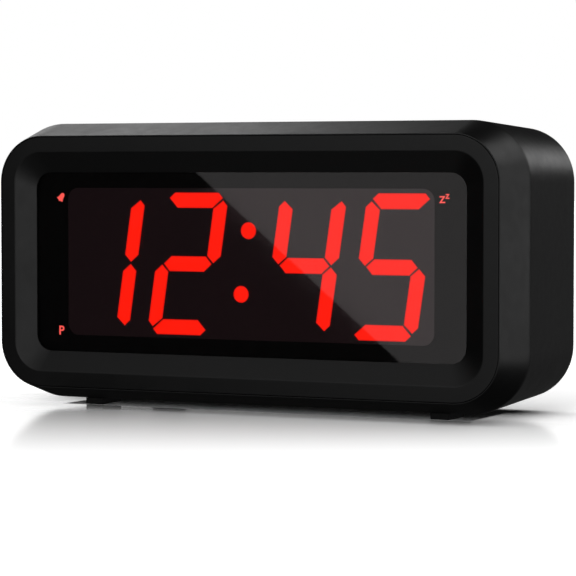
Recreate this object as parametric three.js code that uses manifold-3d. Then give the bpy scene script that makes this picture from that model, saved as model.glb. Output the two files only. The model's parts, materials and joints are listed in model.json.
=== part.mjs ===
// A battery-powered digital alarm clock, in millimetres.
//
// The clock stands on the plane z = 0 and faces -Y, with +X to the right of someone looking at its display.
// Pieces are drawn in the clock's own coordinates: x across, y as depth behind the front face, z as height
// above the table. The outer group then centres the depth, so the origin is under the middle of the clock.

import * as THREE from 'three';
import { mergeVertices } from 'three/addons/utils/BufferGeometryUtils.js';
import Module from 'manifold-3d';

const wasm = await Module();
wasm.setup();

// ---------------------------------------------------------------- driving dimensions

const bodyWidth = 126;
const bodyHeight = 62.1;
const bodyDepth = 41.2;
const bodyRadius = 13.3;
const footHeight = 1.5;
const middle = footHeight + bodyHeight / 2;

const faceWidth = 120.2;
const faceHeight = 56.3;
const faceRadius = 10.4;
const chamferDepth = 10.2;

const rearTaper = 1.24;
const rearRadius = 12.05;
const rearBevel = 0.6;

const wall = 2.2;
const frontRim = 0.2;
const rearRim = 1.4;
const bezelSeatDepth = 3;
const bezelSkirtEnd = 5.5;
const coverSeatDepth = 38.1;

const ringWidth = 3.7;
const lensWidth = 103.9;
const lensHeight = 40;
const lensRadius = 3.75;
const lensDepth = 2.32;
const lensStep = 0.22;
const lensThickness = 1;
const lensMargin = 2;
const windowWidth = 88.7;
const windowHeight = 32.9;
const windowRadius = 2.6;
const filmThickness = 0.12;
const filmGap = 0.02;
const symbolHoleRadius = 1.3;

const digitHeight = 31.2;
const digitWidth = 15.8;
const segmentWidth = 3.35;
const digitSlant = 0.148;
const digitCentres = { hour_tens: -34.6, hour_units: -14.1, minute_tens: 14.2, minute_units: 34.6 };
const indicators = { alarm: [-46.2, 14.5], pm: [-46.2, -15.5], snooze: [46.3, 14.5] };
const housingDepth = 3.5;
const housingHalfWidth = 50.5;
const housingHalfHeight = 18.5;
const housingWall = 1.2;
const guideBack = 8;
const carrierBack = 9;
const colonDots = [[0.8, 7.4], [-1, -6.4]];
const colonRadius = 1.83;

const boardDepth = 11.55;
const boardThickness = 1.6;
const boardBack = boardDepth + boardThickness;
const boardWidth = 117.2;
const boardHeight = 46.4;
const boardRadius = 4;
const mainBoardScrews = [[56.3, 17], [-56.3, 17], [-56.3, -17], [56.3, -17]];
const boardScrewLength = 6;
const boardScrewRadius = 0.95;
const pilotRadius = 1.05;
const screwHoleRadius = 1.2;

const cellLength = 50.2;
const cellRadius = 7.1;
const cellDepth = 31;
const lowerRow = 15.9;
const upperRow = 31.2;
const bayHalfLength = 52.8;
const bayFloorDepth = 23.7;
const bayWall = 1.1;
const bayInside = [lowerRow - 7.6, upperRow + 7.6];
const firstCellStart = 48.1;
const cellPitch = cellLength + 0.05;
const contactThickness = 0.4;

const coverDepth = 38.2;
const coverThickness = 2.6;
const coverBack = coverDepth + coverThickness;
const doorThickness = 2.2;
const doorHalfWidth = 54.5;
const doorBottom = 7.5;
const doorTop = 39.7;
const doorAxisDepth = coverBack - doorThickness / 2;
const doorAxisHeight = doorBottom + doorThickness / 2;
const hingePinRadius = 0.6;
const hingePinReach = 1.3;

const keyHeight = 50;
const keyPositions = { time: 26, alarm: 12, hour: -2, minute: -16 };
const keyRadius = 4.1;
const keySides = 24;
const keyBoardDepth = 29.9;
const keyBoardBack = keyBoardDepth + boardThickness;
const keyBoardScrews = [[19, 44.9], [-24.8, keyHeight]];
const flangeRadius = 5.2;
const flangeFront = 36.9;
const flangeBack = 37.8;
const switchBack = 35;
const switchHalf = 3;
const switchWell = 1.6;
const plungerLength = 1.6;
const plungerProud = 0.8;
const panelDepth = 39.6;
const panelAcross = [-43.5, 47.5];
const panelUp = [42.2, 57.8];
const sliderPosition = -35.5;
const sliderTravel = 3;
const buzzerPosition = 41;
const buzzerRadius = 6;
const grillePitch = 3.2;
const grilleRadius = 0.8;

const caseScrewPosition = [53.5, 51];
const caseScrewShank = 10.2;
const caseScrewHead = 2.6;
const headSeatDepth = coverDepth + 0.9;

const snoozeHalfLength = 30;
const snoozeFront = 17;
const snoozeBack = 29;
const snoozeRadius = 2.5;
const snoozeProud = 0.2;
const snoozeGap = 0.2;
const snoozeLegEnd = 56.4;
const snoozePlungerTop = snoozeLegEnd - 0.05;
const snoozePlungerProud = 1.15;

const footWidth = 4.3;
const footLength = 8.7;
const footPlaces = { front: { x: 42.3, depth: 10.8 }, rear: { x: 36, depth: 30.6 } };
const footGap = 0.03;

const clearance = 0.1;
const touching = 0.05;
const beyond = 43;
const cornerSteps = 9;
const smallCornerSteps = 4;

// ---------------------------------------------------------------- materials

function material(color, roughness, metalness = 0, opacity = 1) {
  return new THREE.MeshStandardMaterial({ color, roughness, metalness, opacity, transparent: opacity < 1 });
}

const casePlastic = () => material(0x17171a, 0.42);
const innerPlastic = () => material(0x1d1d1f, 0.6);
const tintedAcrylic = () => material(0x140606, 0.05, 0, 0.6);
const printedFilm = () => material(0x050505, 0.5);
const redEpoxy = () => material(0xd22012, 0.35);
const greenBoard = () => material(0x14532d, 0.45);
const blackRubber = () => material(0x101010, 0.85);
const steel = () => material(0xb9bcc0, 0.3, 1);
const nickel = () => material(0xc8c6c0, 0.28, 1);
const chipPlastic = () => material(0x121212, 0.55);
const cellWrap = () => material(0x2d6a3a, 0.3);
const capacitorSleeve = () => material(0x1b1f3a, 0.35);
const ribbonInsulation = () => material(0x8a8d92, 0.5);
const redInsulation = () => material(0xb01818, 0.4);
const blackInsulation = () => material(0x151515, 0.4);

// ---------------------------------------------------------------- solids

// Turns a closed three.js geometry into a solid that can be joined and cut.
function solidOf(geometry) {
  geometry.deleteAttribute('normal');
  geometry.deleteAttribute('uv');
  const merged = mergeVertices(geometry, 1e-4);
  const corners = merged.index.array;
  const triangles = [];
  for (let i = 0; i < corners.length; i += 3) {
    const [a, b, c] = corners.slice(i, i + 3);
    if (a !== b && b !== c && c !== a) triangles.push(a, b, c);
  }
  const mesh = new wasm.Mesh({
    numProp: 3,
    vertProperties: new Float32Array(merged.attributes.position.array),
    triVerts: new Uint32Array(triangles),
  });
  return new wasm.Manifold(mesh);
}

function geometryOf(solid) {
  const mesh = solid.getMesh();
  const geometry = new THREE.BufferGeometry();
  geometry.setAttribute('position', new THREE.BufferAttribute(mesh.vertProperties, 3));
  geometry.setIndex(new THREE.BufferAttribute(mesh.triVerts, 1));
  geometry.computeVertexNormals();
  return geometry;
}

function join(...solids) {
  return solids.reduce((whole, next) => whole.add(next));
}

function cut(whole, ...tools) {
  return tools.reduce((rest, tool) => rest.subtract(tool), whole);
}

function block([x0, x1], [y0, y1], [z0, z1]) {
  const geometry = new THREE.BoxGeometry(x1 - x0, y1 - y0, z1 - z0);
  return solidOf(geometry.translate((x0 + x1) / 2, (y0 + y1) / 2, (z0 + z1) / 2));
}

// A turned solid about a line along the depth: profile points are [radius, depth], from front to back.
function turned(profile, x = 0, z = 0, sides = 16) {
  const points = profile.map(([radius, depth]) => new THREE.Vector2(radius, depth));
  return solidOf(new THREE.LatheGeometry(points, sides).translate(x, 0, z));
}

function rod(radius, [y0, y1], x = 0, z = 0, sides = 12) {
  return turned([[0, y0], [radius, y0], [radius, y1], [0, y1]], x, z, sides);
}

function rodAcross(radius, [x0, x1], y, z, sides = 12) {
  const geometry = new THREE.CylinderGeometry(radius, radius, x1 - x0, sides);
  return solidOf(geometry.rotateZ(Math.PI / 2).translate((x0 + x1) / 2, y, z));
}

function shapeOf(points) {
  return new THREE.Shape(points.map(([u, v]) => new THREE.Vector2(u, v)));
}

// An outline in x and z, extruded along the depth.
function slab(points, [y0, y1]) {
  const geometry = new THREE.ExtrudeGeometry(shapeOf(points), { depth: y1 - y0, bevelEnabled: false });
  return solidOf(geometry.rotateX(Math.PI / 2).translate(0, y1, 0));
}

// An outline in depth and height, extruded across the width.
function section(points, [x0, x1]) {
  const geometry = new THREE.ExtrudeGeometry(shapeOf(points), { depth: x1 - x0, bevelEnabled: false });
  const across = new THREE.Matrix4().makeBasis(
    new THREE.Vector3(0, 1, 0),
    new THREE.Vector3(0, 0, 1),
    new THREE.Vector3(1, 0, 0),
  );
  return solidOf(geometry.applyMatrix4(across).translate(x0, 0, 0));
}

function roundedOutline(width, height, radius, steps = cornerSteps) {
  const points = [];
  for (let corner = 0; corner < 4; corner += 1) {
    const centreX = (width / 2 - radius) * (corner === 0 || corner === 3 ? 1 : -1);
    const centreZ = (height / 2 - radius) * (corner < 2 ? 1 : -1);
    for (let step = 0; step <= steps; step += 1) {
      const angle = ((corner + step / steps) * Math.PI) / 2;
      points.push([centreX + radius * Math.cos(angle), centreZ + radius * Math.sin(angle)]);
    }
  }
  return points;
}

// A solid through rounded rectangles, each at its own depth and centred on the display's height.
function loft(stations, steps = cornerSteps) {
  const positions = [];
  const triangles = [];
  const count = 4 * (steps + 1);
  for (const { depth, width, height, radius } of stations) {
    for (const [x, z] of roundedOutline(width, height, radius, steps)) positions.push(x, depth, middle + z);
  }
  const last = (stations.length - 1) * count;
  for (let i = 1; i < count - 1; i += 1) {
    triangles.push(0, i, i + 1);
    triangles.push(last, last + i + 1, last + i);
  }
  for (let first = 0; first < last; first += count) {
    for (let i = 0; i < count; i += 1) {
      const a = first + i;
      const b = first + ((i + 1) % count);
      triangles.push(a, a + count, b);
      triangles.push(b, a + count, b + count);
    }
  }
  const geometry = new THREE.BufferGeometry();
  geometry.setAttribute('position', new THREE.Float32BufferAttribute(positions, 3));
  geometry.setIndex(triangles);
  return solidOf(geometry);
}

function plate(width, height, radius, [y0, y1]) {
  const outline = { width, height, radius };
  return loft([{ ...outline, depth: y0 }, { ...outline, depth: y1 }], smallCornerSteps);
}

// A rounded rectangle in x and y, centred on the given depth and extruded upwards.
function column(width, length, radius, depth, [z0, z1]) {
  const outline = roundedOutline(width, length, radius, smallCornerSteps);
  const geometry = new THREE.ExtrudeGeometry(shapeOf(outline), { depth: z1 - z0, bevelEnabled: false });
  return solidOf(geometry.translate(0, depth, z0));
}

// A bar of round section along a smooth curve through the given points.
function bent(points, radius, steps, sides = 6) {
  const path = new THREE.CatmullRomCurve3(points.map((point) => new THREE.Vector3(...point)));
  const circle = new THREE.Shape();
  for (let side = 0; side < sides; side += 1) {
    const angle = (2 * Math.PI * side) / sides;
    const corner = [radius * Math.cos(angle), radius * Math.sin(angle)];
    if (side === 0) circle.moveTo(...corner);
    else circle.lineTo(...corner);
  }
  return solidOf(new THREE.ExtrudeGeometry(circle, { extrudePath: path, steps, bevelEnabled: false }));
}

// ---------------------------------------------------------------- outer outline

const stations = [
  { depth: 0, width: faceWidth, height: faceHeight, radius: faceRadius },
  { depth: chamferDepth, width: bodyWidth, height: bodyHeight, radius: bodyRadius },
  {
    depth: bodyDepth,
    width: bodyWidth - 2 * rearTaper,
    height: bodyHeight - 2 * rearTaper,
    radius: rearRadius,
  },
];

// The body's outline at a depth, moved inwards by an inset.
function outlineAt(depth, inset = 0) {
  const next = Math.max(1, stations.findIndex((station) => station.depth >= depth));
  const [from, to] = [stations[next - 1], stations[next]];
  const share = (depth - from.depth) / (to.depth - from.depth);
  const between = (key) => THREE.MathUtils.lerp(from[key], to[key], share);
  return {
    depth,
    width: between('width') - 2 * inset,
    height: between('height') - 2 * inset,
    radius: between('radius') - inset,
  };
}

const undersideAt = (depth) => middle - outlineAt(depth).height / 2;
const topsideAt = (depth) => middle + outlineAt(depth).height / 2;

// ---------------------------------------------------------------- assembly

const clock = new THREE.Group();
clock.position.y = -bodyDepth / 2;

function addPiece(name, solid, finish, place = [0, 0, 0]) {
  const mesh = new THREE.Mesh(geometryOf(solid), finish);
  mesh.name = name;
  mesh.position.set(...place);
  clock.add(mesh);
}

// ---------------------------------------------------------------- main shell and feet

function snoozePlan(margin, heights) {
  const width = 2 * (snoozeHalfLength + margin);
  const length = snoozeBack - snoozeFront + 2 * margin;
  return column(width, length, snoozeRadius + margin, (snoozeFront + snoozeBack) / 2, heights);
}

function mainShell() {
  const outer = loft([
    ...stations.slice(0, 2),
    outlineAt(bodyDepth - rearBevel),
    outlineAt(bodyDepth, rearBevel - clearance),
  ]);
  const faceOpening = outlineAt(0, frontRim);
  const rearOpening = outlineAt(bodyDepth, rearRim);
  const bezelSeat = loft([{ ...faceOpening, depth: -1 }, { ...faceOpening, depth: bezelSeatDepth }]);
  const cavity = loft([
    { ...outlineAt(bezelSeatDepth, wall), depth: bezelSeatDepth - 0.01 },
    outlineAt(chamferDepth, wall),
    outlineAt(coverSeatDepth, wall),
  ]);
  const coverSeat = loft([
    { ...rearOpening, depth: coverSeatDepth - 0.01 },
    { ...rearOpening, depth: beyond },
  ]);
  const snoozeOpening = snoozePlan(snoozeGap, [middle + bodyHeight / 3, middle + bodyHeight]);
  const hollow = cut(outer, bezelSeat, cavity, coverSeat, snoozeOpening);
  return join(hollow, screwBoss(1), screwBoss(-1));
}

// A post for a case screw, held to the side wall and the top wall by ribs.
function screwBoss(side) {
  const [reach, z] = caseScrewPosition;
  const x = side * reach;
  const [sideWall, topWall] = [side * 61, 61.5];
  const [front, ribBack] = [27, coverSeatDepth - clearance];
  const ribHalf = 0.8;
  const post = rod(3, [front, coverSeatDepth], x, z);
  const sideSpan = [Math.min(x, sideWall), Math.max(x, sideWall)];
  const sideRib = block(sideSpan, [front, ribBack], [z - ribHalf, z + ribHalf]);
  const topRib = block([x - ribHalf, x + ribHalf], [front, ribBack], [z, topWall]);
  const pilot = rod(1.45, [front + 1, beyond], x, z);
  return cut(join(post, sideRib, topRib), pilot);
}

function foot(front) {
  const back = front + footLength;
  const topAt = (depth) => undersideAt(depth) - footGap;
  const outline = [[front, 0], [back, 0], [back, topAt(back)], [front, topAt(front)]];
  return section(outline, [-footWidth / 2, footWidth / 2]);
}

addPiece('main_shell', mainShell(), casePlastic());
for (const [place, { x, depth }] of Object.entries(footPlaces)) {
  for (const [side, sign] of [['left', -1], ['right', 1]]) {
    addPiece(`foot_${place}_${side}`, foot(depth), blackRubber(), [sign * x, 0, 0]);
  }
}

// ---------------------------------------------------------------- front bezel, lens and mask

function frontBezel() {
  const face = outlineAt(0, frontRim + clearance);
  const skirt = outlineAt(bezelSeatDepth, wall + 0.3);
  const inner = {
    width: faceWidth - 2 * ringWidth,
    height: faceHeight - 2 * ringWidth,
    radius: faceRadius - ringWidth,
  };
  const lens = { width: lensWidth, height: lensHeight, radius: lensRadius };
  const pocketGrowth = 2 * (lensMargin + 2 * clearance);
  const pocket = [lensWidth + pocketGrowth, lensHeight + pocketGrowth, lensRadius];
  const ring = join(
    loft([face, { ...face, depth: bezelSeatDepth - touching }]),
    loft([{ ...skirt, depth: 1 }, { ...skirt, depth: bezelSkirtEnd }]),
  );
  const postFront = bezelSkirtEnd - 0.5;
  const postRun = [postFront, boardDepth - touching];
  const pilotRun = [postFront + 1.4, beyond];
  const posts = mainBoardScrews.map(([x, z]) => rod(1.9, postRun, x, middle + z));
  const pilots = mainBoardScrews.map(([x, z]) => rod(pilotRadius, pilotRun, x, middle + z));
  const lensEdgeDepth = lensDepth - lensStep;
  const slopeStep = (inner.width - lensWidth) / 2 / lensEdgeDepth;
  const outwards = {
    depth: -1,
    width: inner.width + 2 * slopeStep,
    height: inner.height + 2 * slopeStep,
    radius: inner.radius + slopeStep,
  };
  const slope = loft([
    outwards,
    { ...lens, depth: lensEdgeDepth },
    { ...lens, depth: lensDepth + lensThickness },
  ]);
  return cut(join(ring, ...posts), slope, plate(...pocket, [lensDepth - filmGap, beyond]), ...pilots);
}

const lensOutline = [lensWidth + 2 * lensMargin, lensHeight + 2 * lensMargin, lensRadius];
const lensBack = lensDepth + lensThickness;
const filmFront = lensBack + filmGap;

addPiece('front_bezel', frontBezel(), casePlastic());
addPiece('lens_panel', plate(...lensOutline, [lensDepth, lensBack]), tintedAcrylic());

function maskFilm() {
  const sheet = plate(...lensOutline, [filmFront, filmFront + filmThickness]);
  const through = [filmFront - 1, filmFront + 1];
  const symbolHoles = Object.values(indicators).map(([x, z]) => (
    rod(symbolHoleRadius, through, x, middle + z)
  ));
  return cut(sheet, plate(windowWidth, windowHeight, windowRadius, through), ...symbolHoles);
}

addPiece('mask_film', maskFilm(), printedFilm());

// ---------------------------------------------------------------- display

// The seven segments of an upright digit, each grown outwards by a margin, as outlines in x and z.
function segmentOutlines(margin = 0) {
  const halfHeight = digitHeight / 2;
  const halfWidth = digitWidth / 2;
  const innerX = halfWidth - segmentWidth;
  const bar = segmentWidth / 2;
  const top = [
    [-6.55, halfHeight - 1.18],
    [-5.37, halfHeight],
    [5.37, halfHeight],
    [6.55, halfHeight - 1.18],
    [4.3, halfHeight - segmentWidth],
    [-4.3, halfHeight - segmentWidth],
  ];
  const upperRight = [
    [6.72, halfHeight - 1.7],
    [halfWidth, halfHeight - 2.9],
    [halfWidth, 1.78],
    [6.27, 0.22],
    [innerX, bar + 0.14],
    [innerX, halfHeight - segmentWidth - 0.16],
  ];
  const centre = [
    [-5.9, 0],
    [-4.25, bar],
    [4.25, bar],
    [5.9, 0],
    [4.25, -bar],
    [-4.25, -bar],
  ];
  const mirror = (outline, signX, signZ) => outline.map(([x, z]) => [signX * x, signZ * z]);
  const upright = [
    top,
    upperRight,
    mirror(upperRight, 1, -1),
    mirror(top, 1, -1),
    mirror(upperRight, -1, -1),
    mirror(upperRight, -1, 1),
    centre,
  ];
  return upright.map((outline) => {
    const centreX = outline.reduce((sum, [x]) => sum + x, 0) / outline.length;
    const centreZ = outline.reduce((sum, [, z]) => sum + z, 0) / outline.length;
    const grown = outline.map(([x, z]) => [
      x + margin * Math.sign(x - centreX),
      z + margin * Math.sign(z - centreZ),
    ]);
    const turnedRight = THREE.ShapeUtils.area(grown.map(([x, z]) => new THREE.Vector2(x, z))) > 0;
    return turnedRight ? grown : grown.reverse();
  });
}

function slanted(outline, centreX) {
  return outline.map(([x, z]) => [centreX + x + digitSlant * z, middle + z]);
}

// Each guide is a carrier plate in the housing's pocket, with its light guides standing forward from it.
const guideRun = [housingDepth + touching, (guideBack + carrierBack) / 2];
const carrierRun = [guideBack, carrierBack];
const windowRun = [housingDepth - 1, guideRun[1]];
const carrierReach = 16.6;
const dotSides = 16;
const symbolHalf = 1.5;

function digitGuide(centreX) {
  const segments = segmentOutlines().map((outline) => slab(slanted(outline, centreX), guideRun));
  const across = [centreX - 9.8, centreX + 9.8];
  return join(block(across, carrierRun, [middle - carrierReach, middle + carrierReach]), ...segments);
}

function displayHousing() {
  const body = block(
    [-housingHalfWidth, housingHalfWidth],
    [housingDepth, boardDepth - touching],
    [middle - housingHalfHeight, middle + housingHalfHeight],
  );
  const pocketHalf = [housingHalfWidth - housingWall, housingHalfHeight - housingWall];
  const pocket = block(
    [-pocketHalf[0], pocketHalf[0]],
    [guideBack - touching, beyond],
    [middle - pocketHalf[1], middle + pocketHalf[1]],
  );
  const windows = Object.values(digitCentres).flatMap((centreX) => (
    segmentOutlines(0.03).map((outline) => slab(slanted(outline, centreX), windowRun))
  ));
  const dots = colonDots.map(([x, z]) => rod(colonRadius + touching, windowRun, x, middle + z, dotSides));
  const holeHalf = symbolHalf + touching;
  const symbols = Object.values(indicators).map(([x, z]) => (
    block([x - holeHalf, x + holeHalf], windowRun, [middle + z - holeHalf, middle + z + holeHalf])
  ));
  return cut(body, pocket, ...windows, ...dots, ...symbols);
}

function colonGuide() {
  const carrier = block([-3.6, 3.6], carrierRun, [middle - 10, middle + 10]);
  const dots = colonDots.map(([x, z]) => rod(colonRadius, guideRun, x, middle + z, dotSides));
  return join(carrier, ...dots);
}

function indicatorGuide() {
  const symbol = [-symbolHalf, symbolHalf];
  const carrier = [-symbolHalf - 0.2, symbolHalf + 0.2];
  return join(block(symbol, guideRun, symbol), block(carrier, carrierRun, carrier));
}

addPiece('display_housing', displayHousing(), innerPlastic());
for (const [place, centreX] of Object.entries(digitCentres)) {
  addPiece(`digit_guide_${place}`, digitGuide(centreX), redEpoxy());
}
addPiece('colon_guide', colonGuide(), redEpoxy());
for (const [symbol, [x, z]] of Object.entries(indicators)) {
  addPiece(`${symbol}_indicator`, indicatorGuide(), redEpoxy(), [x, 0, middle + z]);
}

// ---------------------------------------------------------------- main board and what it carries

// A pan-head screw along +Y, its tip at y = 0.
function boardScrew() {
  const headRadius = 1.8;
  return turned([
    [0, 0],
    [boardScrewRadius, 0],
    [boardScrewRadius, boardScrewLength],
    [headRadius, boardScrewLength],
    [headRadius, boardScrewLength + 1],
    [headRadius - 0.6, boardScrewLength + 1.5],
    [0, boardScrewLength + 1.5],
  ], 0, 0, 12);
}

function mainBoard() {
  const sheet = plate(boardWidth, boardHeight, boardRadius, [boardDepth, boardBack]);
  const holes = mainBoardScrews.map(([x, z]) => (
    rod(screwHoleRadius, [boardDepth - 1, boardBack + 1], x, middle + z)
  ));
  return cut(sheet, ...holes);
}

// A chip with legs along both long sides, standing on y = 0.
function clockChip() {
  const legs = 14;
  const legPitch = 1.27;
  const body = block([-9, 9], [0.15, 2.4], [-3.75, 3.75]);
  const feet = [];
  for (let leg = 0; leg < legs; leg += 1) {
    const x = (leg - (legs - 1) / 2) * legPitch;
    feet.push(block([x - 0.2, x + 0.2], [0, 0.4], [-5.2, 5.2]));
  }
  return join(body, ...feet);
}

// A flat metal can with round ends, standing on y = 0.
function quartzCrystal() {
  const halfPitch = 3.2;
  const radius = 2.2;
  const run = [0, 3.4];
  return join(
    block([-halfPitch, halfPitch], run, [-radius, radius]),
    rod(radius, run, -halfPitch),
    rod(radius, run, halfPitch),
  );
}

// A sleeved can with a crimped neck, standing on y = 0.
function filterCapacitor() {
  const radius = 4;
  return turned([
    [0, 0],
    [radius - 0.2, 0],
    [radius, 0.3],
    [radius, 1.5],
    [radius - 0.4, 2],
    [radius, 2.5],
    [radius, 11],
    [radius - 0.5, 11.4],
    [0, 11.4],
  ]);
}

const onBoard = boardBack + touching;

addPiece('main_board', mainBoard(), greenBoard());
mainBoardScrews.forEach(([x, z], index) => {
  const tip = boardBack + touching - boardScrewLength;
  addPiece(`main_board_screw_${index + 1}`, boardScrew(), steel(), [x, tip, middle + z]);
});
addPiece('clock_chip', clockChip(), chipPlastic(), [-17, onBoard, 27]);
addPiece('quartz_crystal', quartzCrystal(), steel(), [6, onBoard, 27]);
addPiece('filter_capacitor', filterCapacitor(), capacitorSleeve(), [-30, onBoard, 47]);

// ---------------------------------------------------------------- push switches

const switchHeight = switchBack - keyBoardBack - touching;
const plungerRadius = 1.65;

// A square push switch, standing on y = 0, with a well for its plunger in the face towards +Y.
function pushSwitch() {
  const body = block([-switchHalf, switchHalf], [0, switchHeight], [-switchHalf, switchHalf]);
  return cut(body, rod(plungerRadius + 0.25, [switchHeight - switchWell, switchHeight + 1]));
}

function plunger() {
  const rounding = 0.2;
  return turned([
    [0, 0],
    [plungerRadius, 0],
    [plungerRadius, plungerLength - rounding],
    [plungerRadius - rounding, plungerLength],
    [0, plungerLength],
  ], 0, 0, 12);
}

// ---------------------------------------------------------------- snooze bar

// The bar's top follows the slope of the shell. A flange under it keeps it in, and a leg works the switch.
function snoozeBar() {
  const top = (depth) => topsideAt(depth) + snoozeProud;
  const [near, far] = [snoozeFront - 1, snoozeBack + 1];
  const above = section(
    [[near, top(near)], [far, top(far)], [far, bodyHeight + 9], [near, bodyHeight + 9]],
    [-bodyWidth / 2, bodyWidth / 2],
  );
  const flangeUp = [59.1, 60.25];
  const cap = cut(snoozePlan(0, [flangeUp[0] + clearance, bodyHeight + 4]), above);
  const flange = block([-snoozeHalfLength - 2, snoozeHalfLength + 2], [15.6, 29.9], flangeUp);
  const underside = block([2 - snoozeHalfLength, snoozeHalfLength - 2], [18.8, 27.2], [58, 61.8]);
  const leg = block([-2.2, 2.2], [14.9, 18.9], [snoozeLegEnd, flangeUp[1] - touching]);
  return join(cut(join(cap, flange), underside), leg);
}

const snoozeSwitchDepth = onBoard + switchHalf;
const snoozeSwitchTop = snoozePlungerTop - snoozePlungerProud;

function upright(solid) {
  return solid.rotate([90, 0, 0]);
}

addPiece('snooze_bar', snoozeBar(), casePlastic());
addPiece(
  'snooze_switch',
  upright(pushSwitch()),
  chipPlastic(),
  [0, snoozeSwitchDepth, snoozeSwitchTop - switchHeight],
);
addPiece(
  'snooze_plunger',
  upright(plunger()),
  innerPlastic(),
  [0, snoozeSwitchDepth, snoozePlungerTop - plungerLength],
);

// ---------------------------------------------------------------- rear cover

const throughCover = [coverDepth - 1, beyond];

// The tub behind the door, open towards the back, with a low rib between its two rows of cells.
function batteryTub() {
  const [bottom, top] = bayInside;
  return block(
    [-bayHalfLength - bayWall, bayHalfLength + bayWall],
    [bayFloorDepth - bayWall, coverDepth + clearance],
    [bottom - bayWall, top + bayWall],
  );
}

function batteryBay() {
  const hollow = block([-bayHalfLength, bayHalfLength], [bayFloorDepth, beyond], bayInside);
  const between = (lowerRow + upperRow) / 2;
  const rib = block([-40, 40], [bayFloorDepth, bayFloorDepth + 4], [between - 0.6, between + 0.6]);
  return cut(hollow, rib);
}

function doorOpening() {
  const gap = 0.15;
  const seat = block(
    [-doorHalfWidth - gap, doorHalfWidth + gap],
    [coverBack - doorThickness - gap, beyond],
    [doorBottom - 0.2, doorTop + 0.2],
  );
  const pinReach = doorHalfWidth + hingePinReach + 0.2;
  const pins = rodAcross(hingePinRadius + 0.2, [-pinReach, pinReach], doorAxisDepth, doorAxisHeight);
  const fingerNotch = block([-8, 8], [coverBack - 1.4, beyond], [doorTop - 1, doorTop + 1.9]);
  return join(seat, pins, fingerNotch);
}

// The recess for the keys, with a hole for each key, the slider's slot and the sounder's grille.
function controlPanel() {
  const recess = block(panelAcross, [panelDepth, beyond], panelUp);
  const keys = Object.values(keyPositions).map((x) => (
    rod(keyRadius + 0.3, throughCover, x, keyHeight, keySides)
  ));
  const slot = block(
    [sliderPosition - 2.2, sliderPosition + 2.2 + sliderTravel],
    throughCover,
    [keyHeight - 1.8, keyHeight + 1.8],
  );
  const around = [0, 1, 2, 3, 4, 5].map((step) => {
    const angle = (step * Math.PI) / 3;
    return [grillePitch * Math.cos(angle), grillePitch * Math.sin(angle)];
  });
  const grille = [[0, 0], ...around].map(([x, z]) => (
    rod(grilleRadius, throughCover, buzzerPosition + x, keyHeight + z, 10)
  ));
  return join(recess, ...keys, slot, ...grille);
}

function caseScrewHole(side) {
  const [x, z] = caseScrewPosition;
  const shankHole = rod(1.6, throughCover, side * x, z);
  return join(shankHole, rod(caseScrewHead + 0.4, [headSeatDepth, beyond], side * x, z, 16));
}

function rearCover() {
  const outline = outlineAt(bodyDepth, rearRim + clearance);
  const sheet = loft([{ ...outline, depth: coverDepth }, { ...outline, depth: coverBack }]);
  const postRun = [keyBoardBack + touching, coverDepth + clearance];
  const posts = keyBoardScrews.map(([x, z]) => rod(2.3, postRun, x, z));
  const pilots = keyBoardScrews.map(([x, z]) => rod(pilotRadius, [keyBoardBack, coverDepth - 1], x, z));
  const hooks = [-40, 40].map((x) => block([x - 4, x + 4], [33, coverDepth + clearance], [5.1, 6.4]));
  const tabSlots = [lowerRow, upperRow].map((z) => (
    block([bayHalfLength - 0.5, bayHalfLength + 2], [25.6, 28.4], [z - 1.6, z + 1.6])
  ));
  return cut(
    join(sheet, batteryTub(), ...posts, ...hooks),
    batteryBay(),
    doorOpening(),
    controlPanel(),
    caseScrewHole(1),
    caseScrewHole(-1),
    ...pilots,
    ...tabSlots,
  );
}

// A cross-head screw along +Y, its tip at y = 0.
function caseScrew() {
  const shankRadius = 1.3;
  const crossReach = 1.7;
  const crossHalf = 0.35;
  const crossRun = [caseScrewShank + 0.5, caseScrewShank + 2];
  const screw = turned([
    [0, 0],
    [0.7, 0],
    [shankRadius, 1],
    [shankRadius, caseScrewShank],
    [caseScrewHead, caseScrewShank],
    [caseScrewHead, caseScrewShank + 0.7],
    [caseScrewHead - 0.7, caseScrewShank + 1.3],
    [0, caseScrewShank + 1.3],
  ]);
  return cut(
    screw,
    block([-crossHalf, crossHalf], crossRun, [-crossReach, crossReach]),
    block([-crossReach, crossReach], crossRun, [-crossHalf, crossHalf]),
  );
}

addPiece('rear_cover', rearCover(), casePlastic());
for (const [side, sign] of [['left', -1], ['right', 1]]) {
  const [x, z] = caseScrewPosition;
  const tip = headSeatDepth + touching - caseScrewShank;
  addPiece(`case_screw_${side}`, caseScrew(), steel(), [sign * x, tip, z]);
}

// ---------------------------------------------------------------- battery door

function batteryDoor() {
  const front = coverBack - doorThickness;
  const width = [-doorHalfWidth, doorHalfWidth];
  const panel = block(width, [front, coverBack], [doorAxisHeight, doorTop]);
  const barrel = rodAcross(doorThickness / 2, width, doorAxisDepth, doorAxisHeight);
  const pinReach = doorHalfWidth + hingePinReach;
  const pins = rodAcross(hingePinRadius, [-pinReach, pinReach], doorAxisDepth, doorAxisHeight);
  const tongueHole = block([-5, 5], [front - 1, beyond], [doorTop - 3.4, doorTop - 1.6]);
  const ridgePitch = 1.4;
  const thumbRidges = [0, 1, 2, 3].map((row) => {
    const top = doorTop - 5.5 - ridgePitch * row;
    return block([-7, 7], [coverBack - 0.35, beyond], [top - ridgePitch / 2, top]);
  });
  return cut(join(panel, barrel, pins), tongueHole, ...thumbRidges);
}

addPiece('battery_door', batteryDoor(), casePlastic());

// ---------------------------------------------------------------- cells and contacts

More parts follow.
